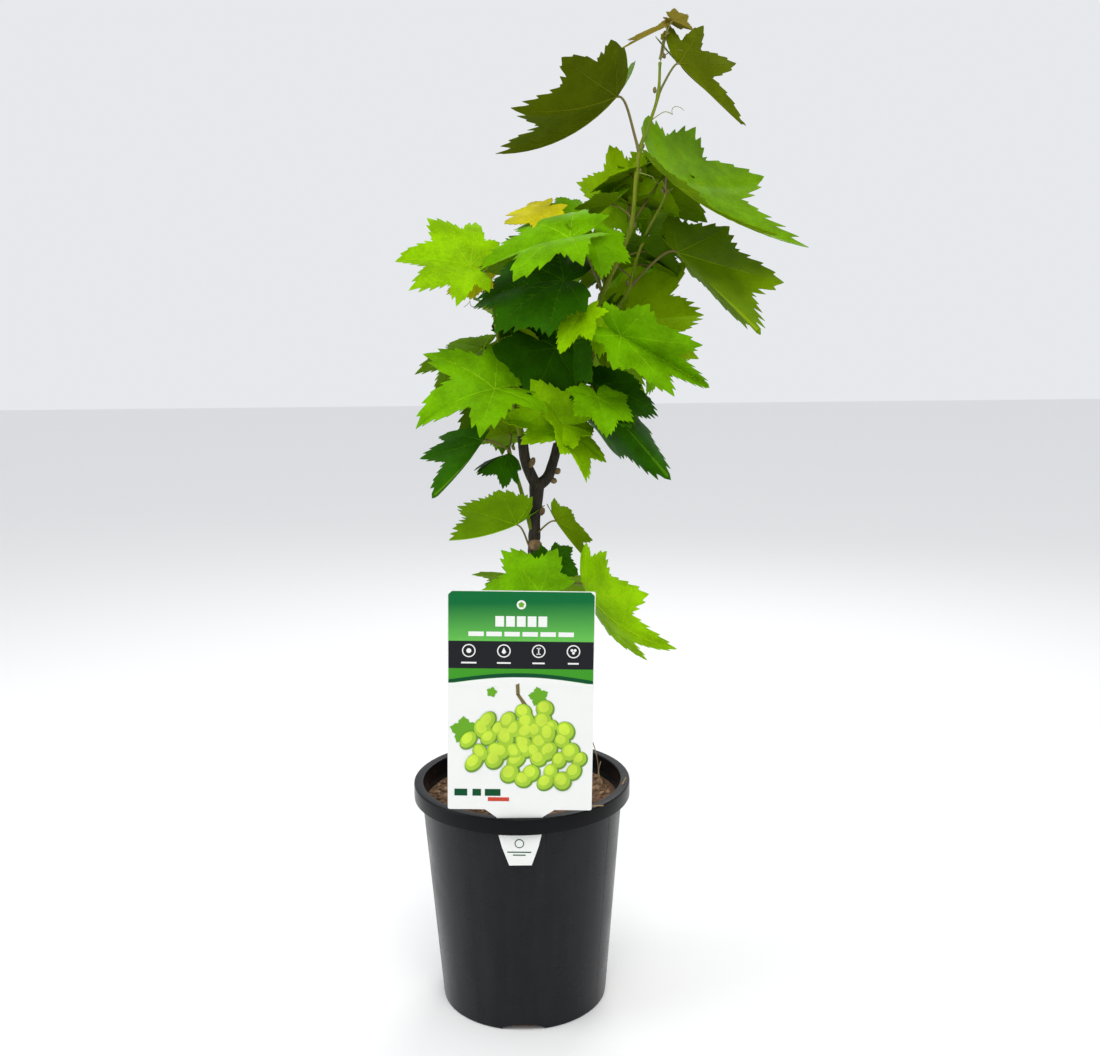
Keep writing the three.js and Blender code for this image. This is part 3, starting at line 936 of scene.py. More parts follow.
@dataclass
class PictureTag:
    """The printed tag: a card above the rim, a neck through the slot and a tail below the lip."""

    pot: NurseryPot
    width: float = 101.5
    height: float = 158.0
    thickness: float = 1.0
    front_y: float = -78.8
    foot_z: float = 180.0
    lean_deg: float = 1.3
    shoulder: float = 49.0
    neck: float = 33.0
    tail_top: float = 31.0
    tail_end: float = 16.0
    tail_z: float = 138.0
    corner: float = 1.4
    print_inset: float = 0.6
    header_foot: float = 122.5
    header_head: float = 157.6
    band_middle: float = 112.7
    band_depth: float = 19.6
    stripe_foot: float = 92.5
    stripe_head: float = 102.9
    badge_up: float = 148.4
    sign_up: float = 115.6
    proud: float = 0.08
    sunk: float = 0.05
    grape_seed: int = 4

    def on_card(self, x: float, up: float, out: float = 0.0) -> Vector:
        """Return a point of the leaning card, given from the middle of its foot; out is its height off it."""
        lean = math.radians(self.lean_deg)
        place_x = x * math.cos(lean) + up * math.sin(lean)
        place_z = self.foot_z + up * math.cos(lean) - x * math.sin(lean)
        return Vector((place_x, self.front_y - out, place_z))

    def outline(self) -> list[Vector]:
        """Return the card's outline seen from the front, anticlockwise from the tail's left corner."""
        half = self.width / 2
        drop = self.pot.height - self.pot.lip_depth
        tail = [(self.tail_end / 2, self.tail_z), (self.tail_top * 0.42, self.tail_z + 14)]
        tail += [(self.tail_top / 2, drop), (self.neck / 2, self.pot.height + 0.5)]
        right = [Vector((x, self.front_y, z)) for x, z in tail]
        left = [Vector((-x, self.front_y, z)) for x, z in reversed(tail)]
        head = [self.on_card(self.shoulder / 2, 0)]
        for x, up in ((half, 0), (half, self.height), (-half, self.height), (-half, 0)):
            head += self.round_corner(x, up)
        head.append(self.on_card(-self.shoulder / 2, 0))
        return [*right, *head, *left]

    def round_corner(self, x: float, up: float) -> list[Vector]:
        """Return the arc of one corner of the card, in the outline's order."""
        inward_x = -math.copysign(self.corner, x)
        inward_up = self.corner if up == 0 else -self.corner
        arc = []
        for k in range(ARC_STEPS + 1):
            angle = math.pi / 2 * k / ARC_STEPS
            along = (1 - math.sin(angle), 1 - math.cos(angle))
            arc.append(self.on_card(x + inward_x * along[0], up + inward_up * along[1]))
        rising = (x > 0) == (up == 0)
        return arc if rising else arc[::-1]

    def card(self, material: bpy.types.Material) -> bpy.types.Object:
        """Build the plain card."""
        draft = Draft()
        front = self.outline()
        slab(draft, front, [point + Vector((0, self.thickness, 0)) for point in front])
        card = draft.piece("tag_card", [material], 30)
        right_way_out(card)
        return card

    def patch(self, draft: Draft, corners: Sequence[Pair], skin: Ink, layer: float = 1.0) -> None:
        """Add a printed patch, a thin raised plate.

        Args:
            draft: where it goes.
            corners: its outline on the card, anticlockwise.
            skin: its ink.
            layer: how many print layers it stands above the card.
        """
        front = [self.on_card(x, up, self.proud * layer) for x, up in corners]
        slab(draft, front, [self.on_card(x, up, -self.sunk) for x, up in corners], skin)

    def bar(self, draft: Draft, x: float, up: float, size: Pair, skin: Ink, layer: float) -> None:
        """Add a printed bar by its centre and size."""
        half_x, half_up = size[0] / 2, size[1] / 2
        corners = [(x - half_x, up - half_up), (x + half_x, up - half_up)]
        corners += [(x + half_x, up + half_up), (x - half_x, up + half_up)]
        self.patch(draft, corners, skin, layer)

    def disc(self, draft: Draft, x: float, up: float, radius: float, skin: Ink, layer: float,
             sides: int = 24) -> None:
        """Add a printed disc by its centre and radius."""
        corners = []
        for angle in round_angles(sides):
            corners.append((x + radius * math.cos(angle), up + radius * math.sin(angle)))
        self.patch(draft, corners, skin, layer)

    def leaf_patch(self, draft: Draft, x: float, up: float, size: float, turn: float) -> None:
        """Add a small printed lobed leaf, fanned from its own middle."""
        corners = []
        for angle in round_angles(30):
            reach = size * (0.82 + 0.13 * math.cos(5 * angle) + 0.05 * math.cos(15 * angle))
            corners.append((x + reach * math.cos(angle + turn), up + reach * math.sin(angle + turn)))
        self.patch(draft, corners, Ink.LEAF, 3.0)

    def build(self) -> None:
        """Build the card, its print and the printed bunch of grapes."""
        white = PrintedCard("tag_white", (0.80, 0.81, 0.79)).material()
        settle(self.card(white), "tag", "picture_tag")
        fade_foot, fade_head = ((self.foot_z + up) * MM for up in (123, 150))
        skins = {
            Ink.HEADER: HeaderPrint(fade_foot, fade_head).material(),
            Ink.BLACK: PrintedCard("tag_black", (0.013, 0.014, 0.017)).material(),
            Ink.BRIGHT: PrintedCard("tag_bright_green", (0.048, 0.290, 0.019)).material(),
            Ink.DARK: PrintedCard("tag_dark_green", (0.004, 0.070, 0.024)).material(),
            Ink.WHITE: white,
            Ink.RED: PrintedCard("tag_red", (0.55, 0.060, 0.035)).material(),
            Ink.LEAF: PrintedCard("tag_leaf_green", (0.130, 0.360, 0.020)).material(),
            Ink.STEM: PrintedCard("tag_stem_brown", (0.160, 0.130, 0.040)).material(),
        }
        draft = Draft()
        self.print_header(draft)
        self.print_stripes(draft)
        self.print_signs(draft)
        self.print_bunch(draft)
        sheet = draft.piece("tag_print", [skins[ink] for ink in Ink], 30)
        settle(sheet, "tag")
        self.build_grapes()

    def print_edge(self) -> float:
        """Return how far the print reaches from the card's middle."""
        return self.width / 2 - self.print_inset

    def print_header(self, draft: Draft) -> None:
        """Lay out the header with its badge and its rows of plain bars."""
        edge, head = self.print_edge(), self.header_head
        cut_x, cut_up = 2.6, 2.4
        right = [(edge, self.header_foot), (edge, head - cut_up), (edge - cut_x, head)]
        left = [(-x, up) for x, up in reversed(right)]
        self.patch(draft, [*right, *left], Ink.HEADER)
        self.disc(draft, 0, self.badge_up, 3.2, Ink.WHITE, 2)
        self.leaf_patch(draft, 0, self.badge_up, 2.3, math.pi / 2)
        for count, pitch, up, size in ((5, 7.4, 136.6, (6.0, 7.4)), (6, 12.4, 127.6, (10.6, 3.2))):
            for k in range(count):
                self.bar(draft, pitch * (k - (count - 1) / 2), up, size, Ink.WHITE, 2)

    def print_stripes(self, draft: Draft) -> None:
        """Lay out the black band and the two curved stripes under it."""
        edge = self.print_edge()
        self.bar(draft, 0, self.band_middle, (2 * edge, self.band_depth), Ink.BLACK, 1)
        stripe = (self.stripe_foot + self.stripe_head) / 2
        self.bar(draft, 0, stripe, (2 * edge, self.stripe_head - self.stripe_foot), Ink.BRIGHT, 1)
        steps, crest_up, bow = 18, 94.8, 5.0
        crest = []
        for k in range(steps + 1):
            crest.append((mix(edge, -edge, k / steps), crest_up + bow * math.sin(math.pi * k / steps)))
        under = [(x, up - mix(3.0, 2.4, abs(x) / edge)) for x, up in reversed(crest)]
        self.patch(draft, [*under, *crest], Ink.DARK, 2)
        lower = [(x, up - 2.9) for x, up in crest]
        self.patch(draft, [*[(x, 90.0) for x, _ in reversed(lower)], *lower], Ink.WHITE, 1.6)

    def print_signs(self, draft: Draft) -> None:
        """Lay out the ringed signs, each over a plain bar."""
        for k, sign in enumerate(Sign):
            x, up = sign.value, self.sign_up
            self.disc(draft, x, up, 4.7, Ink.WHITE, 2)
            self.disc(draft, x, up, 3.9, Ink.BLACK, 2.6)
            self.print_sign(draft, x, up, sign)
            self.bar(draft, x, 107.0, (10.5 - k, 1.1), Ink.WHITE, 2)

    def print_sign(self, draft: Draft, x: float, up: float, sign: Sign) -> None:
        """Draw one plain care sign inside its ring."""
        white, layer = Ink.WHITE, 3
        if sign is Sign.SUN:
            self.disc(draft, x, up, 1.7, white, layer)
        elif sign is Sign.DROP:
            drop = [(x - 1.6, up - 0.9), (x, up - 2.3), (x + 1.6, up - 0.9), (x, up + 2.5)]
            self.patch(draft, drop, white, layer)
        elif sign is Sign.HEIGHT:
            self.bar(draft, x, up, (0.7, 4.6), white, layer)
            for rise in (-2.1, 2.1):
                self.bar(draft, x, up + rise, (2.8, 0.6), white, layer)
        else:
            for shift, rise in ((-1.1, 0.9), (1.1, 0.9), (0, -1.0)):
                self.disc(draft, x + shift, up + rise, 1.0, white, layer, 14)

    def print_bunch(self, draft: Draft) -> None:
        """Lay out the printed stem and leaves over the bunch, and the plain marks in the corner and tail."""
        self.patch(draft, [(-3.4, 91.5), (-0.9, 92.5), (-0.6, 84), (-3.0, 84)], Ink.STEM, 3)
        self.patch(draft, [(-3.0, 84.5), (-0.6, 84.5), (7.0, 74), (4.0, 73)], Ink.STEM, 3)
        for x, up, size, turn in ((-20, 86, 4.0, 2.6), (12.5, 83, 7.4, 0.5), (-39, 58, 10.5, 2.9)):
            self.leaf_patch(draft, x, up, size, turn)
        for k, wide in enumerate((9, 6, 11)):
            self.bar(draft, -41.5 + 11.2 * k, 12.6, (wide, 5.0), Ink.DARK, 2)
        self.bar(draft, -15, 7.6, (15, 2.8), Ink.RED, 2)
        ring_up = -25.5
        self.disc(draft, 0, ring_up, 3.4, Ink.DARK, 1.5)
        self.disc(draft, 0, ring_up, 2.7, Ink.WHITE, 2)
        for up, wide in ((-32.0, 17), (-34.2, 9)):
            self.bar(draft, 0, up, (wide, 0.8), Ink.DARK, 1.5)

    def build_grapes(self) -> None:
        """Build the bunch as ovals in a slanting heap, each shaded by paler ovals over a darker one."""
        rng = random.Random(self.grape_seed)
        rows = (
            (73, 3, 16, 2), (66, -22, 16, 4), (59, -27, 33, 6), (51, -35, 28, 6), (43, -28, 34, 6),
            (36, -32, 41, 6), (28, -8, 37, 4), (21, 4, 31, 3), (44, -14, 20, 3), (56, -9, 19, 3),
        )
        layers = [[], [], []]
        for up, start, end, count in rows:
            for k in range(count):
                x = mix(start, end, k / (count - 1)) + rng.uniform(-1.4, 1.4)
                high = up + rng.uniform(-1.8, 1.8)
                wide, tall, turn = rng.uniform(5.4, 7.0), rng.uniform(6.2, 8.4), rng.uniform(-0.9, 0.9)
                out = rng.uniform(0.0, 0.35)
                shapes = ((0, 0, 1.0, 0.10), (-0.5, 0.7, 0.87, 0.34), (-1.1, 1.6, 0.58, 0.52))
                for layer, (side, rise, share, lift) in zip(layers, shapes):
                    place = self.on_card(x + side, high + rise, out + lift)
                    layer.append(Spot(tuple(place), (wide * share, 0.30, tall * share), (0.0, turn, 0.0)))
        forms = PointForms("printed_grapes")
        colours = [(0.105, 0.245, 0.005), (0.290, 0.480, 0.010), (0.450, 0.620, 0.026)]
        for k, (spots, colour) in enumerate(zip(layers, colours)):
            skin = Mottled(f"grape_print_{k}", colour, tuple(c * 1.2 for c in colour), 0.4, 60.0, 0.0)
            settle(forms.grow(f"tag_grapes_{k}", spots, skin.material(), 4), "tag")


# ---------------------------------------------------------------- wood


@dataclass(frozen=True)
class Limb:
    """One tapering limb: its curve's knots and its radius at each."""

    name: str
    knots: tuple[Triple, ...]
    radii: tuple[float, ...]
    woody: bool = False


TRUNK = Limb(
    "trunk",
    ((4, 8, 157), (4.5, 8, 170), (7, 7, 240), (10.5, 5.5, 335), (12.5, 3, 375), (14.3, 0, 402)),
    (9.5, 5.8, 4.8, 4.2, 4.1, 5.6),
    True,
)
LIMBS = (
    TRUNK,
    Limb("left_spur", ((14, -0.5, 399), (6.4, -2, 417), (4, -3, 437)), (4.3, 3.8, 3.4), True),
    Limb(
        "right_arm",
        ((14.3, 0, 399), (21.7, 1, 405), (25.5, 2, 414), (30, 4, 430)),
        (4.4, 4.0, 3.7, 3.2),
        True,
    ),
    Limb(
        "main_cane_lower",
        ((30, 4, 426), (34.6, 5, 444), (40.6, 6, 460), (47.3, 6, 475), (55.4, 6, 494), (57.7, 5, 515),
         (62, 2, 538)),
        (3.2, 2.8, 2.5, 2.3, 2.1, 2.0, 1.8),
    ),
    Limb(
        "main_cane_upper",
        ((62, 2, 536), (73.4, 0, 561), (83, -2, 583), (87, 0, 618), (90, 2, 639), (97, 4, 657),
         (102.7, 6, 675), (104, 6, 697)),
        (1.8, 1.7, 1.6, 1.5, 1.35, 1.2, 1.05, 0.9),
    ),
    Limb(
        "right_cane",
        ((57, 6, 506), (67, 12, 515), (73, 14, 525), (82.6, 10, 541), (87.5, 8, 561), (97, 4, 585),
         (103, 0, 596), (110, -4, 611)),
        (1.5, 1.4, 1.3, 1.2, 1.1, 1.05, 1.0, 0.9),
    ),
    Limb(
        "left_cane",
        ((4, -3, 435), (-2, 1, 458), (-7, 5, 479), (-12, 6, 503), (-15.5, 2, 525), (-19, -4, 537),
         (-27, -12, 551)),
        (2.6, 2.0, 1.7, 1.5, 1.3, 1.15, 0.95),
    ),
    Limb(
        "low_shoot",
        ((9.5, 2, 367), (7.3, 0, 376), (2.5, -6, 397), (-3.5, -12, 419), (-5.5, -14, 427)),
        (1.9, 1.7, 1.5, 1.3, 1.1),
    ),
)


@dataclass
class Wood:
    """The trunk, arms and canes with the relief of their bark, their buds and their pruning cuts."""

    sprays: Sequence["Spray"]
    ring_step: float = 1.5
    bark_sides: int = 40
    cane_sides: int = 18
    ridge_relief: float = 0.16
    fibre_relief: float = 0.07
    lump_relief: float = 0.08
    rib_relief: float = 0.035
    ribs: int = 6
    node_swell: float = 0.5
    node_reach: float = 3.6

    def build(self) -> None:
        """Build each limb as its own piece, and then what sits on them."""
        bark = Bark().material()
        cane = CaneSkin().material()
        cut = Mottled("cut_wood", (0.300, 0.200, 0.100), (0.190, 0.120, 0.060), 0.85).material()
        for limb in LIMBS:
            draft = Draft()
            self.loft(draft, limb)
            piece = draft.piece(f"{limb.name}_skin", [bark if limb.woody else cane, cut], 70)
            right_way_out(piece)
            settle(piece, "bark" if limb.woody else "cane", limb.name)
        self.build_buds(bark, cut)

    def loft(self, draft: Draft, limb: Limb) -> None:
        """Loft one limb with its bark's relief and the swellings at its nodes."""
        samples = smooth_path(limb.knots, self.ring_step)
        centres = [point for point, _ in samples]
        swellings = [spray.bud for spray in self.sprays if spray.limb == limb.name]
        span = len(limb.radii) - 1

        def radius(ring: int, angle: float) -> float:
            centre, place = samples[ring]
            reach = at_place(limb.radii, min(place, span - 1e-6))
            if limb.woody:
                where = Vector((math.cos(angle) * 2.4, math.sin(angle) * 2.4, centre.z * 0.045))
                ridges = 1 - abs(noise.noise(where))
                fibres = noise.noise(Vector((math.cos(angle) * 7, math.sin(angle) * 7, centre.z * 0.16)))
                lumps = noise.noise(centre * 0.06 + Vector((5, 5, 5)))
                reach *= 1 + (self.ridge_relief * (ridges - 0.75) + self.fibre_relief * fibres
                              + self.lump_relief * lumps)
            else:
                reach *= 1 + self.rib_relief * math.cos(self.ribs * angle)
            for bud in swellings:
                gap = (centre - Vector(bud)).length
                reach += self.node_swell * math.exp(-((gap / self.node_reach) ** 2))
            return reach

        tube(draft, centres, radius, self.bark_sides if limb.woody else self.cane_sides, 1)

    def build_buds(self, bark: bpy.types.Material, cut: bpy.types.Material) -> None:
        """Add the winter buds at the nodes and the dry scales, nubs and pruned stubs of the trunk."""
        forms = PointForms("buds")
        rng = random.Random(23)
        buds = []
        for spray in self.sprays:
            lean = rng.uniform(-0.5, 0.5)
            shift = Vector((rng.choice((-1, 1)) * 2.6, rng.uniform(-1, 1), 2.6))
            buds.append(Spot(tuple(Vector(spray.bud) + shift), (1.3, 1.2, 2.3), (0, lean, 0)))
        skin = Mottled("bud_skin", (0.180, 0.150, 0.045), (0.110, 0.100, 0.020), 0.7).material()
        settle(forms.grow("winter_buds", buds, skin, 3), "cane")
        dry = [
            Spot((12.5, 0.5, 355), (5.2, 4.6, 4.2), (0.2, 0.3, 0)),
            Spot((17.5, 1, 380), (2.4, 2.2, 3.2), (0, 0.5, 0)),
            Spot((10.5, -4.5, 417), (2.4, 2.0, 4.4), (0.1, 0.5, 0)),
            Spot((26.5, 0, 403), (2.6, 2.2, 2.2), (0, 0.3, 0)),
            Spot((29.5, 0.5, 410), (2.2, 2.0, 2.6), (0, 0.6, 0)),
        ]
        dry_skin = Mottled("dry_scale_skin", (0.260, 0.165, 0.075), (0.120, 0.075, 0.036), 0.9).material()
        settle(forms.grow("dry_scales", dry, dry_skin, 3, 0.22, 7), "bark")
        draft = Draft()
        stubs = (((11, 2, 330), (19, -3, 334), (24, -5, 341)), ((11, 3, 341), (17, 0, 346), (20, 0, 352)))
        for knots in stubs:
            centres = [point for point, _ in smooth_path(knots, 1.5)]
            tube(draft, centres, lambda ring, angle: 1.9 + 0.25 * math.sin(3 * angle + ring), 10, 1)
        pruned = draft.piece("pruned_stubs", [bark, cut], 60)
        right_way_out(pruned)
        settle(pruned, "bark")


# ---------------------------------------------------------------- leaves


class Tone(Enum):
    """How a leaf's two faces look where it hangs: the upper, under and vein colours, with the light or shade
    that falls there painted into them.
    """

    LIT = "lit"
    SHADE = "shade"
    BACKLIT = "backlit"
    GLOW = "glow"
    SHADED_OLIVE = "olive"
    YELLOW = "yellow"
    YOUNG = "young"


@dataclass(frozen=True)
class LeafColours:
    """The three plain colours of a tone."""

    upper: Triple
    under: Triple
    vein: Triple


# The lit, glow and backlit tones paint the light on a leaf and the shade tone its shade. The olive tone is a
# browner under colour darkened by painted shade. The yellow and young tones are the leaves' own colours.
COLOURS = {
    Tone.LIT: LeafColours((0.128, 0.325, 0.0008), (0.135, 0.270, 0.0020), (0.240, 0.470, 0.0060)),
    Tone.SHADE: LeafColours((0.020, 0.088, 0.0006), (0.060, 0.130, 0.0020), (0.060, 0.170, 0.0030)),
    Tone.BACKLIT: LeafColours((0.118, 0.260, 0.0008), (0.125, 0.225, 0.0008), (0.200, 0.300, 0.0060)),
    Tone.GLOW: LeafColours((0.210, 0.430, 0.0008), (0.240, 0.420, 0.0010), (0.300, 0.500, 0.0080)),
    Tone.SHADED_OLIVE: LeafColours((0.080, 0.170, 0.0008), (0.078, 0.108, 0.0007), (0.140, 0.160, 0.0050)),
    Tone.YELLOW: LeafColours((0.480, 0.440, 0.0060), (0.440, 0.400, 0.0060), (0.560, 0.500, 0.0300)),
    Tone.YOUNG: LeafColours((0.190, 0.185, 0.0080), (0.165, 0.135, 0.0160), (0.240, 0.180, 0.0200)),
}


@dataclass(frozen=True)
class Leaf:
    """One leaf: where its stalk meets the blade, how it hangs and its form.

    at is that point. aim is the midrib's heading (0 is +X, 90 is +Y), its pitch and the blade's roll, and
    bend is the fold of the halves, the droop along the length and the curl across it, all in degrees. form
    is the width, the depth of the sinuses and the spread of the lobes.
    """

    at: Triple
    aim: Triple
    length: float
    bend: Triple
    form: Triple = (1.0, 0.0, 1.0)
    tone: Tone = Tone.LIT


@dataclass(frozen=True)
class Spray:
    """The leaves that grow at one node of a limb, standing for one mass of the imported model."""

    mass: str
    limb: str
    bud: Triple
    leaves: tuple[Leaf, ...]


LIT, SHADE, BACKLIT, GLOW, SHADED_OLIVE, YELLOW, YOUNG = Tone
UPPER, LOWER, RIGHT, LEFT, FOOT, SHOOT = (
    "main_cane_upper", "main_cane_lower", "right_cane", "left_cane", "trunk", "low_shoot")

SPRAYS = (
    Spray("leaves_top_left", UPPER, (89, 1, 637), (
        Leaf((73, -4, 673), (167, -47, 0), 98, (16, -50, -6), (1.15, 0.05, 0.84), SHADED_OLIVE),
    )),
    Spray("leaves_shoot_tip", UPPER, (104, 6, 699), (
        Leaf((107, 3, 720), (185, -25, 60), 44, (75, 8, 0), (0.24, 0.2, 1), YOUNG),
        Leaf((113, 2, 724), (20, -20, -50), 17, (45, 0, 0), (0.7, 0, 1), YOUNG),
        Leaf((106, 2, 712), (60, 30, 20), 11, (60, 0, 0), (0.5, 0, 1), YOUNG),
    )),
    Spray("leaves_top_right", UPPER, (103, 6, 676), (
        Leaf((117, 0, 695), (5, -45, -55), 66, (65, -20, -25), (1.1, 0.35, 1), SHADED_OLIVE),
    )),
    Spray("leaves_high_right", RIGHT, (108, -3, 607), (
        Leaf((109, -6, 618), (12, -38, 27), 114, (8, -30, -20), (1.12, 0.08, 0.85), BACKLIT),
    )),
    Spray("leaves_middle_right", RIGHT, (84, 10, 543), (
        Leaf((115, -14, 566), (-35, -40, -92), 89, (72, 5, 10), (1.05, -0.02, 0.95), BACKLIT),
    )),
    Spray("leaves_behind_top", UPPER, (83, -2, 583), (
        Leaf((81, 25, 606), (150, 15, 80), 54, (20, -30, -10), (1, 0.1, 0.95), GLOW),
        Leaf((108, 30, 621), (160, -60, 55), 41, (15, 30, 5), (1.05, 0, 1), GLOW),
    )),
    Spray("leaves_centre_right", RIGHT, (74, 14, 527), (
        Leaf((80, 30, 518), (-25, 5, -80), 66, (40, 15, 20), (1.15, 0.1, 0.85), GLOW),
        Leaf((62, -24, 520), (-100, -50, -5), 31, (10, 20, 5), (1, 0.1, 1), GLOW),
    )),
    Spray("leaves_front_right", LOWER, (58, 5, 514), (
        Leaf((74, -38, 509), (5, -30, 86), 74, (50, 5, 40), (0.66, 0.08, 0.86), LIT),
        Leaf((93, -12, 498), (-50, -70, -25), 33, (10, 25, 5), (1, -0.15, 1), LIT),
    )),
    Spray("leaves_crown_front", UPPER, (62, 2, 541), (
        Leaf((39, -40, 575), (175, -10, -25), 67, (30, 20, 85), (1.1, 0.15, 1), LIT),
        Leaf((56, -22, 576), (-75, -50, -15), 36, (15, 10, 10), (1, 0, 1), LIT),
    )),
    Spray("leaves_yellow_top", UPPER, (71, 0, 556), (
        Leaf((22, 0, 598), (205, -25, -20), 34, (-5, -10, 5), (1, 0.05, 0.95), YELLOW),
        Leaf((43, 6, 596), (180, 10, -40), 25, (0, 15, 10), (1, 0, 1), LIT),
    )),
    Spray("leaves_far_left", LEFT, (-22, -7, 543), (
        Leaf((-30, -26, 558), (185, 15, -45), 54, (25, 30, 55), (1.2, 0.12, 0.85), GLOW),
        Leaf((-25, -20, 551), (195, -25, -30), 26, (-5, 10, 15), (1, 0, 1), YELLOW),
    )),
    Spray("leaves_left_shade", LOWER, (57, 5, 508), (
        Leaf((35, -26, 547), (175, 0, -35), 71, (10, 35, 55), (1.1, -0.1, 0.8), SHADE),
    )),
    Spray("leaves_heart", LOWER, (51, 6, 484), (
        Leaf((29, -8, 500), (190, -5, -50), 50, (-15, 0, 15), (1.15, 0, 1.15), SHADE),
        Leaf((41, -4, 502), (230, -70, 0), 43, (15, 25, 0), (1.05, -0.05, 0.95), SHADE),
    )),
    Spray("leaves_heart_front", LOWER, (56, 5, 498), (
        Leaf((46, -42, 524), (-140, -48, -20), 32, (10, 20, 5), (1, 0.15, 1.05), GLOW),
    )),
    Spray("leaves_left", LEFT, (-3, 2, 463), (
        Leaf((-14, -36, 473), (210, -5, -35), 64, (25, 50, 40), (1.05, 0.28, 1.15), LIT),
    )),
    Spray("leaves_low_left", SHOOT, (-5, -14, 427), (
        Leaf((-23, -38, 437), (240, -35, -70), 58, (-65, 35, 25), (1.1, 0.15, 1.05), SHADE),
        Leaf((-6, 10, 437), (165, -10, 40), 30, (15, 15, 10), (1, 0, 1), BACKLIT),
    )),
    Spray("leaves_fork_front", LOWER, (35, 5, 446), (
        Leaf((34, -26, 447), (178, 8, -55), 46, (30, 15, 10), (0.95, 0.1, 1.05), GLOW),
        Leaf((34, -24, 446), (-52, -50, -20), 47, (10, 10, 5), (1, 0.05, 0.9), GLOW),
    )),
    Spray("leaves_right", LOWER, (51, 6, 485), (
        Leaf((61, -26, 464), (-25, -45, 65), 76, (-50, 30, 75), (1.05, 0, 1), SHADE),
        Leaf((58, -34, 466), (-75, -40, -10), 35, (5, 15, 5), (1, 0, 1), LIT),
    )),
    Spray("leaves_right_upper", LOWER, (48, 6, 477), (
        Leaf((59, -18, 473), (-5, -10, 30), 50, (-5, 40, 5), (1, -0.1, 0.95), SHADE),
    )),
    Spray("leaves_small_left", SHOOT, (-3, -12, 419), (
        Leaf((-7, -20, 425), (230, -10, -25), 31, (-40, 30, 10), (1.1, 0.05, 0.85), SHADE),
    )),
    Spray("leaves_trunk_left", FOOT, (9, 3, 350), (
        Leaf((-1, -8, 372), (170, -25, 25), 55, (35, -25, 30), (1.05, -0.1, 1), LIT),
    )),
    Spray("leaves_trunk_right", FOOT, (13, 3, 362), (
        Leaf((28, -6, 374), (-15, -55, -35), 43, (25, -10, 25), (0.8, 0.05, 0.9), BACKLIT),
    )),
    Spray("leaves_foot_right", FOOT, (10, 4, 320), (
        Leaf((49, -40, 329), (-65, -30, 105), 86, (-15, 50, 5), (0.75, 0.05, 0.8), GLOW),
    )),
    Spray("leaves_foot_front", FOOT, (9, 3, 308), (
        Leaf((16, -40, 328), (170, 5, -40), 53, (20, 40, 0), (0.95, 0.1, 1), LIT),
        Leaf((24, -12, 347), (-60, -60, 10), 26, (30, 30, 20), (1, 0, 1), SHADE),
    )),
    Spray("leaves_back_crown", UPPER, (66, 1, 546), (
        Leaf((30, 34, 566), (130, -20, 10), 72, (10, 30, 20), (1, 0.05, 1), LIT),
        Leaf((62, 44, 572), (60, -30, 0), 62, (10, 30, 20), (1, 0.1, 1), LIT),
    )),
    Spray("leaves_back_heart", LOWER, (54, 7, 490), (
        Leaf((28, 36, 508), (110, -40, 0), 74, (10, 30, 20), (1, 0, 1), SHADE),
        Leaf((64, 36, 500), (50, -35, 0), 66, (10, 25, 20), (1, 0.1, 1), LIT),
    )),
    Spray("leaves_back_left", LEFT, (-9, 6, 487), (
        Leaf((-24, 18, 500), (140, -25, 0), 62, (10, 30, 20), (1, 0.1, 1), LIT),
        Leaf((-6, 26, 462), (105, -45, 0), 54, (10, 30, 20), (1, 0, 1), SHADE),
    )),
    Spray("leaves_back_top", UPPER, (87, 1, 620), (
        Leaf((98, 40, 614), (60, -42, 0), 58, (10, 25, 20), (1, 0.15, 1), BACKLIT),
    )),
    Spray("leaves_back_foot", FOOT, (8, 7, 290), (
        Leaf((12, 40, 318), (80, -25, 0), 72, (10, 30, 20), (1, 0.05, 1), LIT),
    )),
)


@dataclass(frozen=True)
class Corner:
    """A turning point of the half outline: its angle from the tip, its reach and whether it is a sinus."""

    angle: float
    reach: float
    sinus: bool
    teeth: int = 0


HALF_OUTLINE = (
    Corner(0, 1.0, False, 5),
    Corner(28, 0.69, True, 3),
    Corner(48, 0.88, False, 4),
    Corner(78, 0.60, True, 3),
    Corner(100, 0.70, False, 3),
    Corner(125, 0.46, True, 3),
    Corner(148, 0.50, False, 3),
    Corner(180, 0.07, True),
)
LAST_LOBE = 148
TOOTH_SAMPLES = (0.0, 0.35, 0.8, 1.0)
RINGS = (0.16, 0.34, 0.52, 0.70, 0.86, 1.0)
LOBES = HALF_OUTLINE[0:7:2]


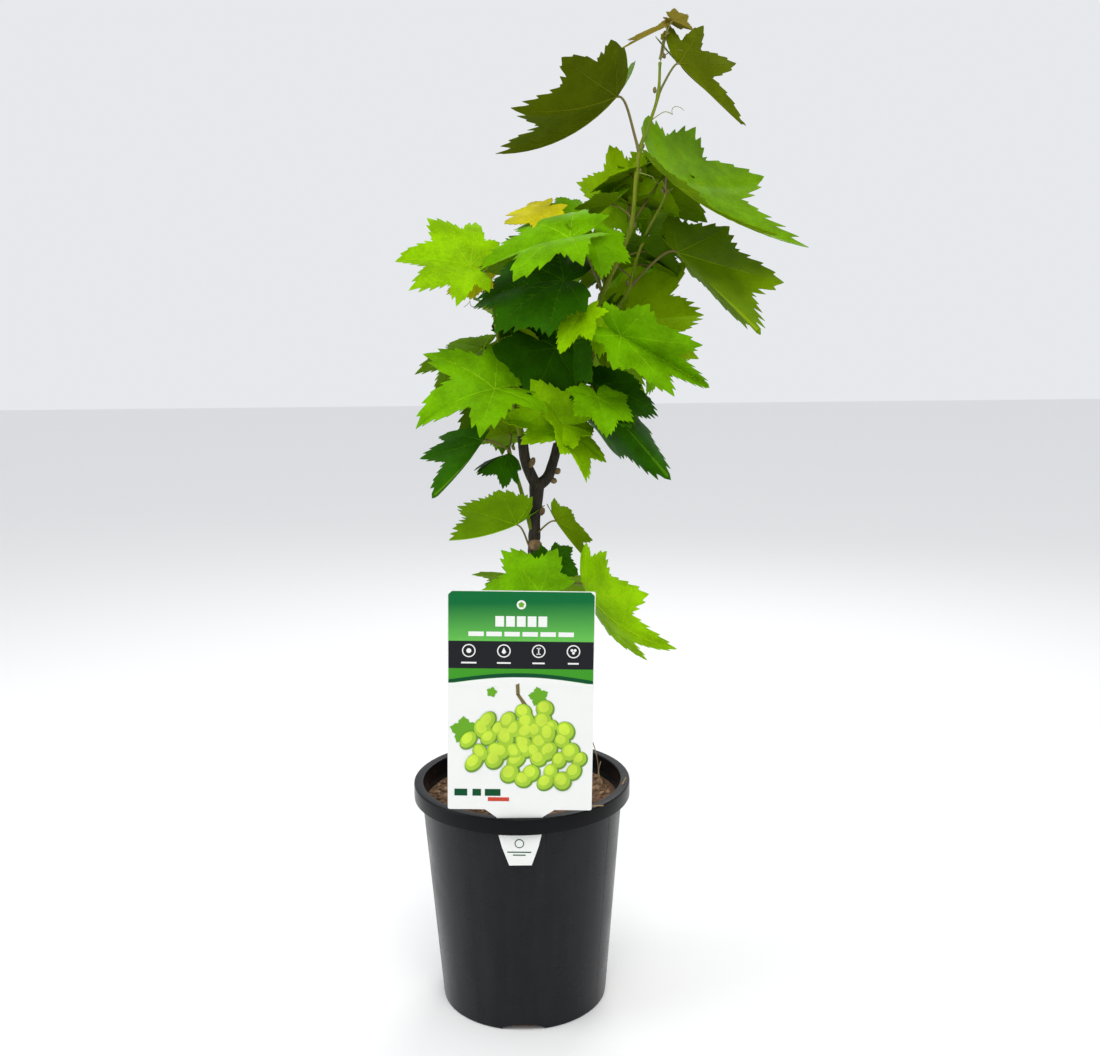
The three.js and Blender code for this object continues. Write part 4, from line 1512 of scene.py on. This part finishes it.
class Blade:
    """The surface of one leaf, from which its faces and veins are drawn."""

    thickness = 0.36
    tooth_depth = 0.078
    pucker = 0.011
    ripple = 0.022
    trough = 0.055
    tooth_start = 0.55
    main_vein = 0.62
    side_vein = 0.26
    vein_gap = 14
    vein_fork = math.radians(46)

    def __init__(self, leaf: Leaf, rng: random.Random) -> None:
        """Work out the blade's axes and its own ripples.

        Args:
            leaf: the leaf.
            rng: the seeded source of its ripples.
        """
        self.leaf = leaf
        heading, pitch, roll = (math.radians(angle) for angle in leaf.aim)
        along = level_way(heading) * math.cos(pitch) + Vector((0, 0, math.sin(pitch)))
        level = Vector((-math.sin(heading), math.cos(heading), 0))
        up = along.cross(level)
        self.along = along
        self.side = level * math.cos(roll) + up * math.sin(roll)
        self.normal = up * math.cos(roll) - level * math.sin(roll)
        self.bend = tuple(math.radians(angle) or 1e-4 for angle in leaf.bend)
        self.phase = rng.uniform(0, 2 * math.pi)
        self.waves = rng.choice((5, 6, 7))
        self.bite = [rng.uniform(0.4, 1.5) for _ in range(9)]
        self.lobes = [math.radians(corner.angle * leaf.form[2]) for corner in LOBES]

    def outline(self) -> list[Triple]:
        """Return the left half's margin from tip to stalk: angle, smooth reach and toothed reach."""
        _, cut, spread = self.leaf.form
        margin = []
        for here, onward in zip(HALF_OUTLINE, HALF_OUTLINE[1:]):
            steps = here.teeth * len(TOOTH_SAMPLES)
            ends = (here, onward)
            start, end = (c.angle * spread if c.angle <= LAST_LOBE else c.angle for c in ends)
            low, high = (c.reach * (1 - cut) if c.sinus and c.angle < 180 else c.reach for c in ends)
            for k in range(steps):
                t = k / steps
                eased = 0.62 * t + 0.38 * smooth_step(t)
                reach = mix(low, high, eased)
                number, phase = divmod(k, len(TOOTH_SAMPLES))
                shape = TOOTH_SAMPLES[-phase if here.sinus else phase]
                tooth = self.tooth_depth * shape * self.bite[(number + int(here.angle)) % len(self.bite)]
                if start > LAST_LOBE:
                    tooth *= 1 - t
                margin.append((math.radians(mix(start, end, t)), reach, reach * (1 - tooth)))
        margin.append((math.pi, HALF_OUTLINE[-1].reach, HALF_OUTLINE[-1].reach))
        return margin

    def point(self, u: float, v: float, lift: float) -> Vector:
        """Return a point of the bent blade.

        Args:
            u: the share of the length along the midrib.
            v: the share of the length across it, left positive.
            lift: the height off mid-thickness in millimetres.

        Returns:
            The point in millimetres.
        """
        fold, droop, curl = self.bend
        length = self.leaf.length
        across = abs(v)
        reach = math.hypot(u, v)
        angle = math.atan2(across, u)
        ripple = self.ripple * reach ** 2 * math.sin(self.waves * math.atan2(v, u) + self.phase)
        nearest = min(abs(angle - lobe) for lobe in self.lobes) * reach
        swell = self.pucker * min(reach * 3, 1) * (1 - math.exp(-((nearest / self.trough) ** 2)))
        off = lift / length + ripple + swell
        slope = fold - curl * across
        lean = slope if across > 1e-6 else 0.0
        away = (math.sin(fold) - math.sin(slope)) / curl - math.sin(lean) * off
        rise = (math.cos(slope) - math.cos(fold)) / curl + math.cos(lean) * off
        forward = math.sin(droop * u) * (1 / droop + rise)
        out = (math.cos(droop * u) - 1) / droop + rise * math.cos(droop * u)
        across_way = self.side * (math.copysign(away, v) if across > 1e-6 else 0.0)
        return Vector(self.leaf.at) + (self.along * forward + self.normal * out + across_way) * length

    def draw(self, draft: Draft) -> None:
        """Add the blade's upper face, under face and margin to a draft, as materials 0 and 1."""
        width = self.leaf.form[0]
        left = self.outline()
        loop = [*left]
        loop += [(-turn, smooth, toothed) for turn, smooth, toothed in left[-2:0:-1]]
        count = len(loop)
        half = self.thickness / 2
        for skin, lift in ((0, half), (1, -half)):
            points = [self.point(0, 0, lift)]
            for share in RINGS:
                for turn, smooth, toothed in loop:
                    toothing = smooth_step((share - self.tooth_start) / (1 - self.tooth_start))
                    reach = share * mix(smooth, toothed, toothing)
                    points.append(self.point(reach * math.cos(turn), reach * math.sin(turn) * width, lift))
            faces = []
            for i in range(count):
                j = (i + 1) % count
                faces.append((0, 1 + i, 1 + j))
                for ring in range(len(RINGS) - 1):
                    a, b = 1 + ring * count + i, 1 + ring * count + j
                    faces.append((a, a + count, b + count, b))
            if skin == 1:
                faces = [tuple(reversed(face)) for face in faces]
            draft.add(points, faces, skin)
        last = 1 + (len(RINGS) - 1) * count
        body = len(draft.points) - 2 * (1 + len(RINGS) * count)
        for i in range(count):
            j = (i + 1) % count
            top_i, top_j = body + last + i, body + last + j
            low_i, low_j = (1 + len(RINGS) * count + corner for corner in (top_i, top_j))
            draft.faces.append((top_i, low_i, low_j, top_j))
            draft.skins.append(1)

    def vein(self, draft: Draft, start: Pair, end: Pair, thick: float, steps: int) -> None:
        """Add one tapering vein that shows on both faces.

        Args:
            draft: where it goes.
            start: its foot on the flat blade, u and v.
            end: its tip there.
            thick: its half width at the foot in millimetres.
            steps: the number of its pieces.
        """
        width = self.leaf.form[0]
        dx, dy = end[0] - start[0], end[1] - start[1]
        span = math.hypot(dx, dy) or 1.0
        points = []
        for k in range(steps + 1):
            t = k / steps
            u = mix(start[0], end[0], t)
            v = mix(start[1], end[1], t) * width
            half = thick * (1 - 0.8 * t)
            side = (-dy / span * half / self.leaf.length, dx / span * half / self.leaf.length)
            points.append(self.point(u + side[0], v + side[1], 0))
            points.append(self.point(u, v, self.thickness / 2 + 0.30 * half))
            points.append(self.point(u - side[0], v - side[1], 0))
            points.append(self.point(u, v, -self.thickness / 2 - 0.75 * half))
        faces = []
        for k in range(steps):
            for corner in range(4):
                a, b = 4 * k + corner, 4 * k + (corner + 1) % 4
                faces.append((a, b, b + 4, a + 4))
        faces.append((3, 2, 1, 0))
        faces.append(tuple(4 * steps + corner for corner in range(4)))
        draft.add(points, faces)

    def draw_veins(self, draft: Draft) -> None:
        """Add the main veins, one to each lobe, and the side veins that branch off them."""
        scale = (self.leaf.length / 80) ** 0.6
        _, _, spread = self.leaf.form
        for corner in LOBES:
            for side in ((1,) if corner.angle == 0 else (1, -1)):
                turn = math.radians(corner.angle * spread) * side
                self.branching_vein(draft, turn, corner.reach, scale)

    def branching_vein(self, draft: Draft, turn: float, reach: float, scale: float) -> None:
        """Add one main vein and its side veins.

        Args:
            draft: where they go.
            turn: the main vein's angle from the tip, in radians.
            reach: the lobe's reach.
            scale: the veins' thickness for this size of leaf.
        """
        way = (math.cos(turn), math.sin(turn))
        self.vein(draft, (0, 0), (way[0] * reach * 0.95, way[1] * reach * 0.95), self.main_vein * scale, 10)
        pairs = max(2, round(reach * self.leaf.length / self.vein_gap))
        for k in range(pairs):
            share = 0.22 + 0.66 * k / pairs
            for side in (1, -1):
                at = share + (0.03 if side > 0 else 0)
                start = (way[0] * reach * at, way[1] * reach * at)
                length = 0.30 * reach * (1 - share) ** 0.8 * (1.0 if turn == 0 else 0.85)
                off = turn + side * self.vein_fork
                end = (start[0] + length * math.cos(off), start[1] + length * math.sin(off))
                self.vein(draft, start, end, self.side_vein * scale, 3)


@dataclass
class Foliage:
    """Every leaf on its stalk, joined by tone, with the filling leaves that grow inside the crown."""

    sprays: Sequence[Spray]
    seed: int = 31
    stalk_sides: int = 8
    thin_stalk: float = 0.6
    thick_stalk: float = 1.05
    fillers: int = 16
    drafts: dict[Tone, Draft] = field(default_factory=dict)
    veins: dict[Tone, Draft] = field(default_factory=dict)
    stalks: Draft = field(default_factory=Draft)

    def grow_leaf(self, bud: Triple, leaf: Leaf, rng: random.Random) -> None:
        """Grow one leaf and the stalk from its node."""
        blade = Blade(leaf, rng)
        blade.draw(self.drafts.setdefault(leaf.tone, Draft()))
        blade.draw_veins(self.veins.setdefault(leaf.tone, Draft()))
        self.grow_stalk(Vector(bud), blade)

    def grow_stalk(self, bud: Vector, blade: Blade) -> None:
        """Grow a leaf's stalk: up and out from the node, then into the blade's foot from below."""
        foot = blade.point(0, 0, -0.4)
        span = (foot - bud).length
        rise = bud.lerp(foot, 0.4) + Vector((0, 0, 0.10 * span))
        enter = foot - blade.along * span * 0.16 - blade.normal * span * 0.10
        steps = max(6, round(span / 3))
        centres = []
        for k in range(steps + 1):
            t = k / steps
            a = bud.lerp(rise, t)
            b = rise.lerp(enter, t)
            c = enter.lerp(foot, t)
            centres.append(a.lerp(b, t).lerp(b.lerp(c, t), t))
        thick = mix(self.thin_stalk, self.thick_stalk, clamp((blade.leaf.length - 20) / 80))

        def radius(ring: int, angle: float) -> float:
            t = ring / steps
            return thick * (1 + 0.55 * math.exp(-((t / 0.06) ** 2)) - 0.2 * t)

        tube(self.stalks, centres, radius, self.stalk_sides)

    def fill_crown(self, rng: random.Random) -> None:
        """Grow small leaves inside the crown from nodes along the canes, on every side of it."""
        canes = [limb for limb in LIMBS if not limb.woody and limb.name != "low_shoot"]
        for k in range(self.fillers):
            limb = canes[k % len(canes)]
            samples = smooth_path(limb.knots, 4.0)
            node = samples[round(mix(0.15, 0.85, rng.random()) * (len(samples) - 1))][0]
            heading = rng.uniform(20, 160)
            length = rng.uniform(24, 40)
            way = level_way(math.radians(heading)) + Vector((0, 0, rng.uniform(0.1, 0.7)))
            at = node + way.normalized() * rng.uniform(14, 26)
            aim = (heading + rng.uniform(-40, 40), rng.uniform(-50, -10), rng.uniform(-30, 30))
            bend = (rng.uniform(5, 30), rng.uniform(10, 40), rng.uniform(5, 30))
            tone = rng.choice((SHADE, LIT, BACKLIT))
            self.grow_leaf(tuple(node), Leaf(tuple(at), aim, length, bend, (1, 0, 1), tone), rng)

    def build(self) -> None:
        """Grow all the leaves, and join them and their veins by tone."""
        rng = random.Random(self.seed)
        for spray in self.sprays:
            for leaf in spray.leaves:
                self.grow_leaf(spray.bud, leaf, rng)
        self.fill_crown(rng)
        for tone, draft in self.drafts.items():
            colours = COLOURS[tone]
            name = tone.value
            upper = LeafSkin(f"leaf_{name}_upper", colours.upper).material()
            under = LeafSkin(f"leaf_{name}_under", colours.under, 0.62, 0.14).material()
            piece = draft.piece(f"leaves_{name}", [upper, under], 55)
            masses = [spray.mass for spray in self.sprays if spray.leaves[0].tone is tone]
            settle(piece, "foliage", *masses)
            vein = LeafSkin(f"vein_{name}", colours.vein, 0.55, 0.10).material()
            ribs = self.veins[tone].piece(f"veins_{name}", [vein], 70)
            settle(ribs, "foliage")
        skin = Mottled("stalk_skin", (0.130, 0.150, 0.012), (0.170, 0.085, 0.030), 0.5, 60.0, 0.00005)
        settle(self.stalks.piece("leaf_stalks", [skin.material()], 60), "cane")


@dataclass
class Tendrils:
    """The thin curling tendrils at the upper nodes and the hairs of the shoot's tip."""

    thickness: float = 0.42

    def coil(self, draft: Draft, start: Triple, way: Triple, reach: float, turns: float, curl: float) -> None:
        """Add one tendril that runs out and then winds up.

        Args:
            draft: where it goes.
            start: its foot.
            way: the direction it leaves in.
            reach: how far it runs.
            turns: how many times it winds.
            curl: the winding's radius.
        """
        ahead = Vector(way).normalized()
        over = ahead.orthogonal().normalized()
        across = ahead.cross(over)
        centres = []
        steps = round(26 + 14 * turns)
        for k in range(steps + 1):
            t = k / steps
            wind = 2 * math.pi * turns * max(0.0, t - 0.35) / 0.65
            wide = curl * smooth_step((t - 0.3) / 0.4)
            centre = Vector(start) + ahead * reach * t - Vector((0, 0, 0.25 * reach * t * t))
            centres.append(centre + (over * (math.cos(wind) - 1) + across * math.sin(wind)) * wide)
        tube(draft, centres, lambda ring, angle: self.thickness * (1 - 0.55 * ring / steps), 6)

    def build(self) -> None:
        """Build the tendrils."""
        draft = Draft()
        self.coil(draft, (88, 0, 622), (0.9, -0.3, -0.2), 26, 2.0, 2.2)
        self.coil(draft, (97, 4, 657), (0.8, 0.4, 0.7), 30, 1.5, 2.6)
        self.coil(draft, (104, 6, 697), (0.3, -0.2, 1.0), 26, 0.6, 2.0)
        self.coil(draft, (104, 6, 699), (0.9, 0.1, 0.8), 22, 0.8, 1.8)
        self.coil(draft, (-16, 2, 526), (-0.8, 0.4, 0.4), 28, 1.8, 2.4)
        skin = Mottled("tendril_skin", (0.230, 0.300, 0.040), (0.300, 0.230, 0.080), 0.5, 90.0, 0.0)
        settle(draft.piece("tendrils", [skin.material()], 70), "cane")


@dataclass
class Straws:
    """Dry straws caught at the pot's rim."""

    def build(self) -> None:
        """Build the straws."""
        draft = Draft()
        routes = (
            ((60, 34, 158), (60, 42, 168), (58, 46, 178), (55, 48, 187)),
            ((50, -54, 158), (62, -42, 163), (72, -26, 170), (79, -12, 177)),
            ((45, -62, 174.2), (52, -62, 175.2), (60, -59, 174.2)),
            ((62, 20, 159), (60, 30, 166), (62, 36, 172)),
        )
        for route in routes:
            centres = [point for point, _ in smooth_path(route, 2.0)]
            tube(draft, centres, lambda ring, angle: 0.42 + 0.08 * math.cos(2 * angle), 8)
        skin = Mottled("straw_skin", (0.330, 0.220, 0.100), (0.200, 0.120, 0.050), 0.75)
        settle(draft.piece("straws", [skin.material()], 60), "soil")


# ---------------------------------------------------------------- stage


@dataclass
class Stage:
    """The camera, the pale floor and the soft lights."""

    eye: Triple = (23.5, -915.0, 529.0)
    pitch_deg: float = -10.0
    roll_deg: float = -0.6
    lens: float = 41.0
    floor_tone: Triple = (0.86, 0.86, 0.86)

    def build(self) -> None:
        """Set up the view."""
        self.add_camera()
        self.add_floor()
        self.add_lights()
        settings = bpy.context.scene.view_settings
        settings.view_transform = "Standard"
        settings.look = "None"

    def add_camera(self) -> None:
        """Add the camera and make it the scene's."""
        data = bpy.data.cameras.new("view")
        data.lens = self.lens
        data.sensor_width = 36.0
        camera = shown(bpy.data.objects.new("view", data))
        turn = Matrix.Rotation(math.radians(90 + self.pitch_deg), 4, "X")
        roll = Matrix.Rotation(math.radians(self.roll_deg), 4, "Z")
        camera.matrix_world = Matrix.Translation(Vector(self.eye) * MM) @ turn @ roll
        bpy.context.scene.camera = camera

    def add_floor(self) -> None:
        """Add the floor, which isn't part of the plant."""
        draft = Draft()
        reach = 6000.0
        corners = [Vector((x * reach, y * reach, 0)) for x, y in ((-1, -1), (1, -1), (1, 1), (-1, 1))]
        draft.add(corners, [(0, 1, 2, 3)])
        graph = Graph("floor_paint")
        cloud = graph.noise(graph.place(), 0.8, 2.0)
        paint = graph.dress(Base_Color=graph.blend(cloud, self.floor_tone, self.floor_tone), Roughness=0.9)
        draft.piece("floor", [paint], 50)

    def add_lights(self) -> None:
        """Add the pale surround and three soft lights."""
        world = bpy.data.worlds.new("surround")
        world.use_nodes = True
        backdrop = world.node_tree.nodes["Background"]
        backdrop.inputs["Color"].default_value = (0.95, 0.97, 1.0, 1.0)
        backdrop.inputs["Strength"].default_value = 0.84
        bpy.context.scene.world = world
        self.add_light("key", (150, -900, 1700), (40, 0, 420), 800, 12.0, (1.0, 0.98, 0.93))
        self.add_light("fill", (-1300, -300, 700), (20, 0, 300), 900, 7.0, (0.97, 0.99, 1.0))
        self.add_light("back", (300, 1100, 1300), (40, 0, 500), 700, 7.0, (1.0, 0.98, 0.94))

    @staticmethod
    def add_light(name: str, at: Triple, target: Triple, size: float, power: float, tint: Triple) -> None:
        """Add one soft square light.

        Args:
            name: its name.
            at: where it hangs, in millimetres.
            target: what it points at.
            size: its side in millimetres.
            power: its power in watts.
            tint: its colour.
        """
        data = bpy.data.lights.new(name, "AREA")
        data.size = size * MM
        data.energy = power
        data.color = tint
        lamp = shown(bpy.data.objects.new(name, data))
        aim = (Vector(target) - Vector(at)).to_track_quat("-Z", "Y")
        lamp.matrix_world = Matrix.Translation(Vector(at) * MM) @ aim.to_matrix().to_4x4()


def main() -> None:
    """Build the stage, the pot and the plant in order."""
    logging.basicConfig(level=logging.INFO, format="%(name)s: %(message)s")
    Stage().build()
    pot = NurseryPot()
    pot.build()
    PottingMix(pot).build()
    PictureTag(pot).build()
    Wood(SPRAYS).build()
    Foliage(SPRAYS).build()
    Tendrils().build()
    Straws().build()


if __name__ == "__main__":
    main()
